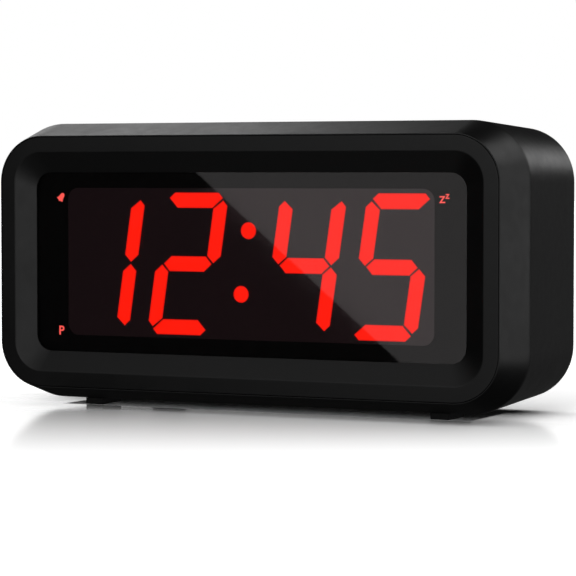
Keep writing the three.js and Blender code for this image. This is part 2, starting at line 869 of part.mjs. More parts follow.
// A cell lying along x, its button end towards +X, starting at x = 0.
function cell() {
  const shoulder = cellLength - 1.4;
  const rounding = 0.5;
  const buttonRadius = 2.75;
  return turned([
    [0, 0],
    [cellRadius - rounding, 0],
    [cellRadius, rounding],
    [cellRadius, shoulder - rounding],
    [cellRadius - rounding, shoulder],
    [buttonRadius, shoulder],
    [buttonRadius, cellLength],
    [0, cellLength],
  ]).rotate([0, 0, -90]);
}

for (const index of [0, 1]) {
  const start = -firstCellStart + index * cellPitch;
  addPiece(`cell_upper_${index + 1}`, cell(), cellWrap(), [start, cellDepth, upperRow]);
  const turnedRound = cell().rotate([0, 0, 180]);
  addPiece(`cell_lower_${index + 1}`, turnedRound, cellWrap(), [-start, cellDepth, lowerRow]);
}

// A tapering coil along +X from x = 0.
function spring() {
  const turns = 2.5;
  const steps = 30;
  const wireRadius = 0.3;
  const points = [];
  for (let step = 0; step <= steps; step += 1) {
    const share = step / steps;
    const angle = share * turns * 2 * Math.PI;
    const radius = THREE.MathUtils.lerp(4.4, 2.5, share);
    points.push([wireRadius + 3.4 * share, radius * Math.cos(angle), radius * Math.sin(angle)]);
  }
  return bent(points, wireRadius, steps, 5);
}

function contactPlate(z, halfHeight = 5) {
  return block([0, contactThickness], [cellDepth - 5, cellDepth + 5], [z - halfHeight, z + halfHeight]);
}

function solderTab(z) {
  return block([-2.6, 0.1], [25.8, 28.2], [z - 1.4, z + 1.4]);
}

function linkContact() {
  const half = (upperRow - lowerRow) / 2;
  const sheet = contactPlate((upperRow + lowerRow) / 2, half + 5);
  return join(sheet, spring().translate([0, cellDepth, upperRow]));
}

function mirrored(solid) {
  return solid.mirror([1, 0, 0]);
}

function negativeContact() {
  return join(contactPlate(lowerRow), solderTab(lowerRow), spring().translate([0, cellDepth, lowerRow]));
}

function positiveContact() {
  return join(contactPlate(upperRow), solderTab(upperRow));
}

const contactEnd = bayHalfLength - filmGap;

addPiece('link_contact', linkContact(), nickel(), [-contactEnd, 0, 0]);
addPiece('negative_contact', mirrored(negativeContact()), nickel(), [contactEnd, 0, 0]);
addPiece('positive_contact', mirrored(positiveContact()), nickel(), [contactEnd, 0, 0]);

// ---------------------------------------------------------------- key board and buttons

function keyBoard() {
  const sheet = block([-43.2, 49], [keyBoardDepth, keyBoardBack], [42.4, 57.4]);
  const holes = keyBoardScrews.map(([x, z]) => (
    rod(screwHoleRadius, [keyBoardDepth - 1, keyBoardBack + 1], x, z)
  ));
  return cut(sheet, ...holes);
}

// A round cap with a chamfered rim, a flange behind the cover and a stem that meets its switch.
function keyCap() {
  const stemRadius = 1.6;
  const stemFront = switchBack + plungerProud + touching;
  const chamfer = 0.4;
  return turned([
    [0, stemFront],
    [stemRadius, stemFront],
    [stemRadius, flangeFront],
    [flangeRadius, flangeFront],
    [flangeRadius, flangeBack],
    [keyRadius, flangeBack],
    [keyRadius, coverBack - chamfer],
    [keyRadius - chamfer, coverBack],
    [0, coverBack],
  ], 0, 0, keySides);
}

const onKeyBoard = keyBoardBack + touching;
const plungerStart = switchBack + plungerProud - plungerLength;

addPiece('key_board', keyBoard(), greenBoard());
keyBoardScrews.forEach(([x, z], index) => {
  const screw = boardScrew().rotate([180, 0, 0]);
  const tip = keyBoardDepth - touching + boardScrewLength;
  addPiece(`key_board_screw_${index + 1}`, screw, steel(), [x, tip, z]);
});
for (const [key, x] of Object.entries(keyPositions)) {
  addPiece(`${key}_button`, keyCap(), innerPlastic(), [x, 0, keyHeight]);
  addPiece(`${key}_plunger`, plunger(), innerPlastic(), [x, plungerStart, keyHeight]);
  addPiece(`${key}_switch`, pushSwitch(), chipPlastic(), [x, onKeyBoard, keyHeight]);
}

const slideWell = 2;

function slideSwitch() {
  const body = block([-4.6, 4.6], [onKeyBoard, switchBack], [-2.6, 2.6]);
  return cut(body, block([-2.9, 2.9], [switchBack - slideWell, switchBack + 1], [-1.1, 1.1]));
}

// A ridged thumb piece, with a flange behind the cover and a tongue that moves the slide switch.
function slider() {
  const thumb = block([-2, 2], [flangeBack - 0.5, coverBack - clearance], [-1.6, 1.6]);
  const flange = block([-flangeRadius, flangeRadius], [flangeFront, flangeBack - clearance], [-2.7, 2.7]);
  const tongue = block([-1, 1], [switchBack - slideWell + 0.4, flangeFront + clearance], [-0.8, 0.8]);
  const grooves = [-0.9, 0.3].map((x) => block([x, x + 0.6], [coverBack - 0.35, beyond], [-2, 2]));
  return cut(join(thumb, flange, tongue), ...grooves);
}

function buzzer() {
  const back = coverDepth - 0.6;
  return cut(rod(buzzerRadius, [onKeyBoard, back], 0, 0, 20), rod(1.1, [back - 1, back + 1]));
}

addPiece('slide_switch', slideSwitch(), steel(), [sliderPosition + sliderTravel / 2, 0, keyHeight]);
addPiece('alarm_slider', slider(), innerPlastic(), [sliderPosition, 0, keyHeight]);
addPiece('buzzer', buzzer(), chipPlastic(), [buzzerPosition, 0, keyHeight]);

// ---------------------------------------------------------------- wires

// A flat cable that sags between the two boards.
function ribbon() {
  const start = boardBack + clearance;
  const end = keyBoardDepth - clearance;
  const steps = 10;
  const thickness = 0.9;
  const sag = 4;
  const bottom = [];
  const top = [];
  for (let step = 0; step <= steps; step += 1) {
    const share = step / steps;
    const y = THREE.MathUtils.lerp(start, end, share);
    const z = 47 - sag * Math.sin(Math.PI * share) ** 2;
    bottom.push([y, z]);
    top.unshift([y, z + thickness]);
  }
  return section([...bottom, ...top], [-6, 6]);
}

addPiece('ribbon_cable', ribbon(), ribbonInsulation(), [-12, 0, 0]);

// The battery leads, from the solder tabs to the key board.
const wireRadius = 0.6;
const wireEnd = keyBoardDepth - 0.15;
const tabEnd = bayHalfLength + 3.4;
addPiece('red_wire', bent([
  [tabEnd, 27, upperRow],
  [tabEnd + 1, 26.4, upperRow + 3],
  [tabEnd + 0.6, 25.4, 40],
  [50, 24.6, 43.4],
  [46.4, 26.4, 44.6],
  [46, wireEnd, 45],
], wireRadius, 16), redInsulation());
addPiece('black_wire', bent([
  [tabEnd, 27, lowerRow],
  [tabEnd + 1, 25.4, lowerRow + 3],
  [tabEnd + 1, 23, 30],
  [tabEnd, 21.8, 41],
  [46, 22, 45.6],
  [42.6, 25.2, 46.8],
  [42, wireEnd, 47],
], wireRadius, 20), blackInsulation());

export default clock;
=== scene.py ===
"""A small battery-powered LED alarm clock: its looks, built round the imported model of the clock.

Sizes are in millimetres unless a name or comment says otherwise. Points are given across the clock, as a
depth behind its face and as a height above the table, and place() turns them into the frame's metres.
"""

import json
from math import atan, cos, pi, radians, sin

import bmesh
import bpy
from mathutils import Matrix, Vector

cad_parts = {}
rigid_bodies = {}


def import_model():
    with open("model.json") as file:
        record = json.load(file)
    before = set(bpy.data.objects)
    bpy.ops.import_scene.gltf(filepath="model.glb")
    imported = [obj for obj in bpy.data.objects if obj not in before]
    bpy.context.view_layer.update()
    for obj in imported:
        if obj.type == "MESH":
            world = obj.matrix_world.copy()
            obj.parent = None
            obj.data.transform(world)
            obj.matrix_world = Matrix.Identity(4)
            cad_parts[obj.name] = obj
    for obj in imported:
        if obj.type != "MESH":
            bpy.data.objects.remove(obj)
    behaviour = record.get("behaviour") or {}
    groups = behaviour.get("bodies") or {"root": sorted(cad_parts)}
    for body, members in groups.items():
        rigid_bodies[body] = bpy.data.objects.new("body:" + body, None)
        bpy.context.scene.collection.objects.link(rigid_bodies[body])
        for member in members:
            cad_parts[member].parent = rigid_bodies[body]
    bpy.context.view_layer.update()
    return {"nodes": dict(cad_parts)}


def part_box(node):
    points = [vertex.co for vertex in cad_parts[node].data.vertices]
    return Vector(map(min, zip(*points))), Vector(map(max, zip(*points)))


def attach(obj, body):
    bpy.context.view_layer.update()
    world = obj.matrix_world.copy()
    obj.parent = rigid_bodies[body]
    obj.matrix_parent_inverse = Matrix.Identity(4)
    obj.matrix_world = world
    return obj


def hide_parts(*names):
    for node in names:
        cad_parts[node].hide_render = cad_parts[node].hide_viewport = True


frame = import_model()
scene = bpy.context.scene

MM = 0.001

# ---- sizes of the clock, from the frame


def cad_corners(node):
    """The two corners of a CAD piece's box."""
    return [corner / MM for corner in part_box(node)]


shell_low, shell_high = cad_corners("main_shell")
cover_low, cover_high = cad_corners("rear_cover")
door_low, door_high = cad_corners("battery_door")
housing_low, housing_high = cad_corners("display_housing")
lens_front = cad_corners("lens_panel")[0].y
film_front = cad_corners("mask_film")[0].y

FRONT = shell_low.y
BODY_WIDTH = shell_high.x - shell_low.x
BODY_HEIGHT = shell_high.z - shell_low.z
BODY_DEPTH = shell_high.y - shell_low.y
MIDDLE = (shell_high.z + shell_low.z) / 2
LENS_DEPTH = lens_front - FRONT
FILM_DEPTH = film_front - FRONT
HOUSING_DEPTH = housing_low.y - FRONT
COVER_BACK = door_high.y - FRONT
BEHIND = 43  # further back than the clock, for the tools that cut it from behind

# The face is smaller than the body by the chamfer round it, and the body narrows towards its back.
CHAMFER = 2.9
CHAMFER_DEPTH = 10.2
TAPER = 1.24
FACE = (BODY_WIDTH - 2 * CHAMFER, BODY_HEIGHT - 2 * CHAMFER, 10.4)
REAR_RIM = 1.4
WALL = 2.2
SEAT_DEPTH = 3
COVER_SEAT = 38.1
SEAM = 0.2


def span(half, middle=0):
    """The limits of something, from half its size and its middle."""
    return (middle - half, middle + half)


def place(x, depth, height):
    return Vector((x * MM, (FRONT + depth) * MM, height * MM))


def new_object(name, data):
    made = bpy.data.objects.new(name, data)
    scene.collection.objects.link(made)
    return made


# ---- camera

CAMERA_PLACE = (249.29, -510.46, 52.48)
CAMERA_YAW = 25.863
CAMERA_PITCH = 2.586
CAMERA_LENS = 159.55


def make_camera():
    data = bpy.data.cameras.new("camera")
    data.lens = CAMERA_LENS
    data.sensor_width = 36
    data.clip_start = 0.01
    camera = new_object("camera", data)
    camera.location = Vector(CAMERA_PLACE) * MM
    camera.rotation_euler = (radians(90 - CAMERA_PITCH), 0, radians(CAMERA_YAW))
    scene.camera = camera


# ---- outlines, as (across, up) points


def outline(width, height, radius, centre=(0, 0), steps=24):
    """A rounded rectangle, anticlockwise as seen from the front."""
    points = []
    for corner in range(4):
        across = centre[0] + (width / 2 - radius) * (1 if corner in (0, 3) else -1)
        up = centre[1] + (height / 2 - radius) * (1 if corner < 2 else -1)
        for step in range(steps + 1):
            angle = (corner + step / steps) * pi / 2
            points.append((across + radius * cos(angle), up + radius * sin(angle)))
    return points


def around(sides):
    """Equally spaced angles, once round."""
    return [2 * pi * side / sides for side in range(sides)]


def circle(centre, radius, sides=48):
    """A circle, anticlockwise as seen from the front."""
    return [(centre[0] + radius * cos(a), centre[1] + radius * sin(a)) for a in around(sides)]


ROUNDING_STEPS = 4


def rounded(profile):
    """A closed profile with its corners rounded. Each corner is a tuple of numbers, the last its rounding."""
    points = []
    for i, corner in enumerate(profile):
        here = Vector(corner[:-1])
        before = Vector(profile[i - 1][:-1]) - here
        after = Vector(profile[(i + 1) % len(profile)][:-1]) - here
        radius = corner[-1]
        if radius == 0:
            points.append(tuple(here))
            continue
        start = here + before.normalized() * min(radius, before.length * 0.45)
        end = here + after.normalized() * min(radius, after.length * 0.45)
        for step in range(ROUNDING_STEPS + 1):
            t = step / ROUNDING_STEPS
            points.append(tuple(start * (1 - t) ** 2 + here * 2 * t * (1 - t) + end * t ** 2))
    return points


def shrunk(points, inset):
    """An anticlockwise outline moved inwards."""
    moved = []
    for i, point in enumerate(points):
        here = Vector(point)
        before = (here - Vector(points[i - 1])).normalized()
        after = (Vector(points[(i + 1) % len(points)]) - here).normalized()
        inward = (Vector((-before.y, before.x)) + Vector((-after.y, after.x))).normalized()
        reach = inset / max(0.3, inward.dot(Vector((-after.y, after.x))))
        moved.append(tuple(here + inward * reach))
    return moved


# ---- solids, added to a bmesh


def bridge(bm, rings, closed=False):
    """Joins rings of equally many corners, with a cap on each end unless the rings close on themselves."""
    pairs = list(zip(rings, rings[1:]))
    if closed:
        pairs.append((rings[-1], rings[0]))
    else:
        bm.faces.new(rings[0])
        bm.faces.new(reversed(rings[-1]))
    for ring, following in pairs:
        for i in range(len(ring)):
            j = (i + 1) % len(ring)
            bm.faces.new((ring[j], ring[i], following[i], following[j]))


def add_rings(bm, rings, closed=False):
    """Rings of (across, depth, height) points, joined into a solid."""
    bridge(bm, [[bm.verts.new(place(*point)) for point in ring] for ring in rings], closed)


def add_prism(bm, points, front, back):
    """An outline in (across, height), extruded along the depth."""
    add_rings(bm, [[(x, depth, z) for x, z in points] for depth in (front, back)])


def add_box(bm, across, depths, heights):
    (x0, x1), (z0, z1) = across, heights
    add_prism(bm, [(x0, z0), (x1, z0), (x1, z1), (x0, z1)], *depths)


def add_section(bm, points, across):
    """An outline in (depth, height), extruded across the clock."""
    add_rings(bm, [[(x, depth, z) for depth, z in points] for x in across])


def add_column(bm, points, low, high):
    """An outline in (across, depth), extruded upwards. Both heights are functions of the depth."""
    add_rings(bm, [[(x, depth, height(depth)) for x, depth in points] for height in (low, high)])


def add_ring(bm, profile):
    """A closed tube round the clock. Each profile point is (offset outwards from the face, depth, radius)."""
    rings = []
    for offset, depth, radius in profile:
        ring = outline(FACE[0] + 2 * offset, FACE[1] + 2 * offset, radius, (0, MIDDLE))
        rings.append([(x, depth, z) for x, z in ring])
    add_rings(bm, rings, closed=True)


def ring_profile(*corners):
    """Corners as (offset, depth, rounding), or (offset, depth, rounding, radius), for add_ring."""
    full = []
    for corner in corners:
        offset, depth, rounding = corner[:3]
        radius = corner[3] if len(corner) > 3 else FACE[2] + offset
        full.append((offset, depth, radius, rounding))
    return rounded(full)


def add_turned(bm, profile, matrix, sides, indices=None):
    """A solid turned about the depth axis, from (radius, depth) points that start and end on the axis."""
    rings = []
    for radius, depth in profile:
        angles = around(sides) if radius else [0]
        ring = [Vector((radius * cos(a), depth, radius * sin(a))) * MM for a in angles]
        rings.append([bm.verts.new(matrix @ point) for point in ring])
    for band, (ring, following) in enumerate(zip(rings, rings[1:])):
        for side in range(sides):
            after = (side + 1) % sides
            corners = [ring[after % len(ring)], ring[side % len(ring)]]
            corners += [following[side % len(following)], following[after % len(following)]]
            face = bm.faces.new(dict.fromkeys(corners))
            face.material_index = indices[band] if indices else 0


def add_tube(bm, points, radius, sides=10):
    """A round bar along points in metres, closed at both ends."""
    rings = []
    normal = None
    for i, point in enumerate(points):
        direction = (points[min(i + 1, len(points) - 1)] - points[max(i - 1, 0)]).normalized()
        if normal is None:
            normal = direction.orthogonal()
        normal = (normal - direction * normal.dot(direction)).normalized()
        side = direction.cross(normal)
        rings.append([
            bm.verts.new(point + (normal * cos(a) + side * sin(a)) * radius * MM)
            for a in around(sides)
        ])
    bridge(bm, rings)


def at(x, depth, height):
    """A matrix that moves a solid built about the depth axis to its place."""
    return Matrix.Translation(place(x, depth, height))


def solid(add, *args):
    """A bmesh that holds one solid."""
    bm = bmesh.new()
    add(bm, *args)
    return bm


def as_mesh(name, bm):
    """Turns a bmesh into a mesh."""
    mesh = bpy.data.meshes.new(name)
    bm.to_mesh(mesh)
    bm.free()
    return mesh


def evaluated(thing):
    """A bmesh of an object with its modifiers applied."""
    mesh = bpy.data.meshes.new_from_object(thing.evaluated_get(bpy.context.evaluated_depsgraph_get()))
    bm = bmesh.new()
    bm.from_mesh(mesh)
    bpy.data.meshes.remove(mesh)
    return bm


CUT = "DIFFERENCE"
JOIN = "UNION"
TRIM = "INTERSECT"


def carved(base, *steps):
    """A bmesh cut by, joined with or trimmed to others, each step being an operation and a bmesh."""
    made = []

    def temporary(bm):
        bmesh.ops.recalc_face_normals(bm, faces=bm.faces)
        made.append(new_object("carving", as_mesh("carving", bm)))
        return made[-1]

    body = temporary(base)
    for operation, tool in steps:
        modifier = body.modifiers.new("carving", "BOOLEAN")
        modifier.operation = operation
        modifier.solver = "EXACT"
        modifier.use_self = True
        modifier.object = temporary(tool)
    result = evaluated(body)
    for leftover in made:
        bpy.data.meshes.remove(leftover.data)
    return result


# ---- pieces


def add_piece(name, bm, materials, slot, replaces=(), body="case", sharp=35, rounding=0, segments=2):
    """Turns a bmesh into a piece on a body, smooth except across sharp edges, which may be rounded."""
    bmesh.ops.remove_doubles(bm, verts=bm.verts, dist=1e-7)
    bmesh.ops.recalc_face_normals(bm, faces=bm.faces)
    for face in bm.faces:
        face.smooth = True
    for edge in bm.edges:
        edge.smooth = len(edge.link_faces) == 2 and edge.calc_face_angle(0) < radians(sharp)
    piece = new_object(name, as_mesh(name, bm))
    for material in materials:
        piece.data.materials.append(material)
    if rounding:
        bevel = piece.modifiers.new("edge_rounding", "BEVEL")
        bevel.width = rounding * MM
        bevel.segments = segments
        bevel.limit_method = "ANGLE"
        bevel.angle_limit = radians(sharp)
        bevel.use_clamp_overlap = False
    weighted = piece.modifiers.new("weighted_normals", "WEIGHTED_NORMAL")
    weighted.keep_sharp = not rounding
    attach(piece, body)
    if replaces:
        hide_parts(*replaces)
    return piece


def add_skin(node, bm, materials, slot, **settings):
    """A piece that stands in for one CAD piece and is named after it."""
    return add_piece(f"{node}_skin", bm, materials, slot, [node], **settings)


def softened(node, materials, slot, **settings):
    """Stands a copy of a CAD piece in for it, with the flat stretches joined and the edges rounded."""
    bm = bmesh.new()
    bm.from_mesh(frame["nodes"][node].data)
    bmesh.ops.remove_doubles(bm, verts=bm.verts, dist=1e-6)
    bmesh.ops.dissolve_limit(bm, angle_limit=radians(0.5), verts=bm.verts, edges=bm.edges)
    return add_skin(node, bm, materials, slot, sharp=30, **settings)


INK_LIFT = 0.01
FACING_FRONT = Matrix(((1, 0, 0), (0, 0, -1), (0, 1, 0))).to_4x4()
FACING_BACK = Matrix(((-1, 0, 0), (0, 0, 1), (0, 1, 0))).to_4x4()


def add_label(name, words, size, centre, facing, material, body="case", thickness=0.02, weight=0, slot=None):
    """Words centred on a point in metres. The weight thickens their strokes."""
    curve = bpy.data.curves.new(name, "FONT")
    curve.body = words
    curve.size = size * MM
    curve.align_x = curve.align_y = "CENTER"
    curve.extrude = thickness * MM / 2
    curve.offset = weight * MM
    letters = new_object(name, curve)
    bm = evaluated(letters)
    bpy.data.objects.remove(letters)
    bmesh.ops.transform(bm, matrix=Matrix.Translation(centre) @ facing, verts=bm.verts)
    return add_piece(name, bm, [material], slot, body=body)


# ---- materials


class Nodes:
    """Short ways to add shader nodes to a new material."""

    def __init__(self, name):
        self.material = bpy.data.materials.new(name)
        self.material.use_nodes = True
        self.tree = self.material.node_tree
        self.shader = self.tree.nodes["Principled BSDF"]
        self.place = self.add("TexCoord").outputs["Object"]

    def add(self, kind, **settings):
        node = self.tree.nodes.new(f"ShaderNode{kind}")
        for key, value in settings.items():
            setattr(node, key, value)
        return node

    def feed(self, node, values):
        """Sets or links inputs, by name or number."""
        for key, value in values.items():
            if isinstance(value, bpy.types.NodeSocket):
                self.tree.links.new(value, node.inputs[key])
            else:
                node.inputs[key].default_value = value
        return node

    def shade(self, **values):
        """Sets the shader's inputs and gives back the finished material."""
        self.feed(self.shader, {key.replace("_", " "): value for key, value in values.items()})
        return self.material

    def noise(self, scale, detail=4, roughness=0.6, stretch=None):
        vector = self.place
        if stretch:
            mapping = self.feed(self.add("Mapping"), {"Vector": vector, "Scale": stretch})
            vector = mapping.outputs[0]
        values = {"Vector": vector, "Scale": scale, "Detail": detail, "Roughness": roughness}
        return self.feed(self.add("TexNoise"), values).outputs[0]

    def ramp(self, source, low, high, start=0.0, end=1.0):
        values = {0: source, 1: low, 2: high, 3: start, 4: end}
        return self.feed(self.add("MapRange"), values).outputs[0]

    def mix(self, factor, first, second):
        colors = [(*color, 1) if isinstance(color, tuple) else color for color in (first, second)]
        node = self.add("Mix", data_type="RGBA")
        return self.feed(node, {0: factor, 6: colors[0], 7: colors[1]}).outputs[2]

    def math(self, operation, first, second=0.0):
        return self.feed(self.add("Math", operation=operation), {0: first, 1: second}).outputs[0]

    def vector(self, operation, first, second=(0, 0, 0)):
        node = self.feed(self.add("VectorMath", operation=operation), {0: first, 1: second})
        return node.outputs["Value" if operation in ("DOT_PRODUCT", "LENGTH") else "Vector"]

    def bump(self, height, strength, distance):
        values = {"Height": height, "Strength": strength, "Distance": distance * MM}
        return self.feed(self.add("Bump"), values).outputs[0]

    def edges(self, radius):
        """How near a point is to a sharp edge, from 0 on a flat to 1 on the edge."""
        bevel = self.feed(self.add("Bevel", samples=4), {"Radius": radius * MM})
        geometry = self.add("NewGeometry")
        facing = self.vector("DOT_PRODUCT", bevel.outputs[0], geometry.outputs["Normal"])
        return self.ramp(facing, 0.995, 0.86)


def lighter(color, times, plus=0.0):
    return tuple(min(1, channel * times + plus) for channel in color)


def plastic(name, color, gloss, grain, edge_wear_and_highlight=0.1, spread=0.04):
    """Moulded plastic: fine eroded grain, slow flow marks in its gloss, and edges partly polished by handling
    and partly painted lighter as a highlight.
    """
    net = Nodes(name)
    flow = net.ramp(net.noise(38), 0.3, 0.7)
    haze = net.noise(420, 5, 0.65)
    # Edge mask, partly wear and partly painted highlight: random stretches of the sharp edges get a lighter
    # colour and less roughness.
    edge = net.math("MULTIPLY", net.edges(0.6), net.ramp(haze, 0.35, 0.65, 0.3 * edge_wear_and_highlight, edge_wear_and_highlight))
    tone = net.mix(flow, color, lighter(color, 1.35, 0.0004))
    roughness = net.math("ADD", net.ramp(flow, 0, 1, gloss - spread, gloss + spread),
                         net.ramp(haze, 0.3, 0.7, -0.03, 0.03))
    return net.shade(
        # Painted highlight and wear: the colour is lighter along sharp edges.
        Base_Color=net.mix(edge, tone, lighter(color, 2.2, 0.005)),
        Roughness=net.math("SUBTRACT", roughness, net.math("MULTIPLY", edge, 0.12)),
        Normal=net.bump(net.noise(5200, 2, 0.7), grain, 0.02),
        IOR=1.5,
    )


def rubber():
    """Soft black rubber: dull and powdery, with dust caught in its pores."""
    net = Nodes("foot_rubber")
    pores = net.noise(2600, 4, 0.7)
    dust = net.ramp(net.noise(300), 0.5, 0.75)
    return net.shade(
        Base_Color=net.mix(dust, (0.011, 0.011, 0.0115), (0.03, 0.029, 0.028)),
        Roughness=net.ramp(pores, 0.3, 0.7, 0.7, 0.9),
        Normal=net.bump(pores, 0.25, 0.05),
    )


def print_ink(name, color):
    """Pad-printed ink: slightly uneven in cover and gloss."""
    net = Nodes(name)
    cover = net.noise(2600, 3, 0.6)
    return net.shade(
        Base_Color=net.mix(net.ramp(cover, 0.3, 0.7), lighter(color, 0.78), color),
        Roughness=net.ramp(cover, 0.3, 0.7, 0.42, 0.6),
    )


def lens_acrylic():
    """Smoked acrylic, polished to a mirror, with the faintest ripple and a few wiping marks."""
    net = Nodes("lens_acrylic")
    ripple = net.noise(60, 2, 0.5)
    wiped = net.noise(500, stretch=(1, 1, 6))
    return net.shade(
        Base_Color=net.mix(ripple, (0.82, 0.76, 0.76), (0.86, 0.80, 0.80)),
        Roughness=net.ramp(wiped, 0.4, 0.75, 0.006, 0.02),
        Normal=net.bump(ripple, 0.015, 0.01),
        IOR=1.49,
        Transmission_Weight=1.0,
    )


def mask_print():
    """The opaque black print behind the lens, with a trace of mottling."""
    net = Nodes("mask_print")
    mottle = net.noise(900)
    return net.shade(
        Base_Color=net.mix(mottle, (0.0004, 0.0004, 0.0004), (0.0012, 0.0012, 0.0012)),
        Roughness=net.ramp(mottle, 0.3, 0.7, 0.5, 0.65),
        Specular_IOR_Level=0.1,
    )


def display_face():
    """The dark face round the digits: a contrast film, with a faint red glow painted on it as emission for
    the light that leaks behind it.
    """
    net = Nodes("display_face")
    leak = net.noise(70, 3, 0.5)
    grain = net.noise(2400, 2, 0.6)
    # Painted glow: the face emits a faint red light, though it is no lamp.
    glow = net.mix(leak, (0.0062, 0.0032, 0.004), (0.0082, 0.004, 0.0048))
    return net.shade(
        Base_Color=net.mix(grain, (0.004, 0.002, 0.0022), (0.006, 0.003, 0.0032)),
        Roughness=net.ramp(grain, 0.3, 0.7, 0.05, 0.08),
        IOR=1.85,
        Emission_Color=glow,
        Emission_Strength=1.0,
    )


def lit_epoxy(name, edge_color, middle_color, strength):
    """Diffusing epoxy over a lit chip: full in the middle of a segment and a little weaker at its edges."""
    net = Nodes(name)
    glow = net.add("Attribute", attribute_name="glow").outputs["Fac"]
    speckle = net.ramp(net.noise(1500, 2, 0.6), 0.3, 0.7, -0.02, 0.02)
    level = net.math("ADD", glow, speckle)
    color = net.mix(level, edge_color, middle_color)
    return net.shade(
        Base_Color=net.mix(level, (0.05, 0.002, 0.001), (0.08, 0.003, 0.002)),
        Roughness=net.ramp(level, 0, 1, 0.45, 0.35),
        Emission_Color=color,
        Emission_Strength=net.ramp(level, 0, 1, 0.9 * strength, strength),
    )


def metal(name, color, gloss, stretch=(1, 1, 1)):
    """Plated or drawn metal, with fine marks along one direction and a little tarnish."""
    net = Nodes(name)
    marks = net.noise(1800, 4, 0.7, stretch)
    tarnish = net.ramp(net.noise(220), 0.45, 0.75)
    return net.shade(
        Base_Color=net.mix(tarnish, color, lighter(color, 0.7)),
        Roughness=net.math("ADD", net.ramp(marks, 0.3, 0.7, gloss - 0.08, gloss + 0.08),
                           net.math("MULTIPLY", tarnish, 0.12)),
        Normal=net.bump(marks, 0.12, 0.01),
        Metallic=1.0,
    )


def circuit_board():
    """Green solder mask over copper tracks, which run along and across the board and show lighter."""
    net = Nodes("circuit_board")
    tracks = net.feed(net.add("TexBrick", offset=0.37, squash=1.7, squash_frequency=3), {
        "Vector": net.feed(net.add("Mapping"), {
            "Vector": net.place, "Rotation": (pi / 2, 0, 0),
        }).outputs[0],
        "Scale": 130.0, "Mortar Size": 0.05, "Mortar Smooth": 0.3,
        "Color1": (0, 0, 0, 1), "Color2": (0, 0, 0, 1), "Mortar": (1, 1, 1, 1),
    }).outputs["Color"]
    weave = net.noise(3000, 3, 0.6)
    mask = net.mix(weave, (0.006, 0.06, 0.018), (0.009, 0.075, 0.024))
    return net.shade(
        Base_Color=net.mix(tracks, mask, (0.02, 0.17, 0.05)),
        Roughness=net.ramp(weave, 0.3, 0.7, 0.26, 0.4),
        Normal=net.bump(tracks, 0.5, 0.035),
    )


def wrap_film(name, color):
    """A cell's shrink film: glossy, with small scuffs."""
    net = Nodes(name)
    scuffs = net.ramp(net.noise(700, 5, 0.7, stretch=(0.3, 1, 1)), 0.56, 0.72)
    tone = net.noise(90, 3, 0.5)
    return net.shade(
        Base_Color=net.mix(tone, lighter(color, 0.9), lighter(color, 1.1)),
        Roughness=net.ramp(scuffs, 0, 1, 0.2, 0.48),
        Coat_Weight=0.3,
        Normal=net.bump(scuffs, 0.1, 0.01),
    )


BLACK = (0.0026, 0.0026, 0.0028)
CHARCOAL = (0.009, 0.009, 0.0095)

case_plastic = plastic("case_plastic", BLACK, 0.39, grain=0.09, edge_wear_and_highlight=0.2, spread=0.025)
bezel_plastic = plastic("bezel_plastic", BLACK, 0.4, grain=0.09, edge_wear_and_highlight=0.2)
key_plastic = plastic("key_plastic", CHARCOAL, 0.33, grain=0.03, edge_wear_and_highlight=0.5)
inner_plastic = plastic("inner_plastic", (0.012, 0.012, 0.013), 0.5, grain=0.08)
chip_plastic = plastic("chip_plastic", (0.01, 0.01, 0.011), 0.5, grain=0.12)
sleeve_film = plastic("capacitor_sleeve", (0.01, 0.012, 0.05), 0.3, grain=0.02)
red_insulation = plastic("red_insulation", (0.42, 0.01, 0.008), 0.4, grain=0.03)
black_insulation = plastic("black_insulation", (0.012, 0.012, 0.012), 0.4, grain=0.03)
ribbon_insulation = plastic("ribbon_insulation", (0.25, 0.26, 0.28), 0.45, grain=0.04)
foot_rubber = rubber()
white_ink = print_ink("white_ink", (0.55, 0.55, 0.54))
lens_material = lens_acrylic()
mask_material = mask_print()
face_material = display_face()
lit_digit = lit_epoxy("lit_epoxy", (0.86, 0.005, 0.0008), (1.0, 0.009, 0.001), 1.3)
lit_symbol = lit_epoxy("lit_symbol", (0.9, 0.08, 0.06), (1.0, 0.11, 0.09), 1.25)
screw_steel = metal("screw_steel", (0.6, 0.6, 0.61), 0.32)
contact_nickel = metal("contact_nickel", (0.66, 0.64, 0.6), 0.3, stretch=(1, 1, 5))
board_material = circuit_board()
wrap_dark = wrap_film("wrap_dark", (0.012, 0.045, 0.02))
wrap_accent = wrap_film("wrap_accent", (0.62, 0.34, 0.12))

# ---- main shell and feet

SNOOZE_MARGIN = 0.2
SNOOZE_PLAN = (60, 12, 2.5)
SNOOZE_DEPTH = 23
SNOOZE_OPENING = (20, 40)  # heights above the middle
SCREW_PLACE = (53.5, 51)
SCREW_POST = (3, 27)  # radius and front end
SCREW_BORE = (1.45, 28)


def snooze_plan(margin):
    """The snooze bar's plan as (across, depth) points, grown by a margin."""
    width, length, radius = SNOOZE_PLAN
    return outline(width + 2 * margin, length + 2 * margin, radius + margin, (0, SNOOZE_DEPTH), steps=10)


def topside(depth):
    """The height of the shell's top behind its chamfer."""
    slope = TAPER / (BODY_DEPTH - CHAMFER_DEPTH)
    return MIDDLE + BODY_HEIGHT / 2 - slope * (depth - CHAMFER_DEPTH)


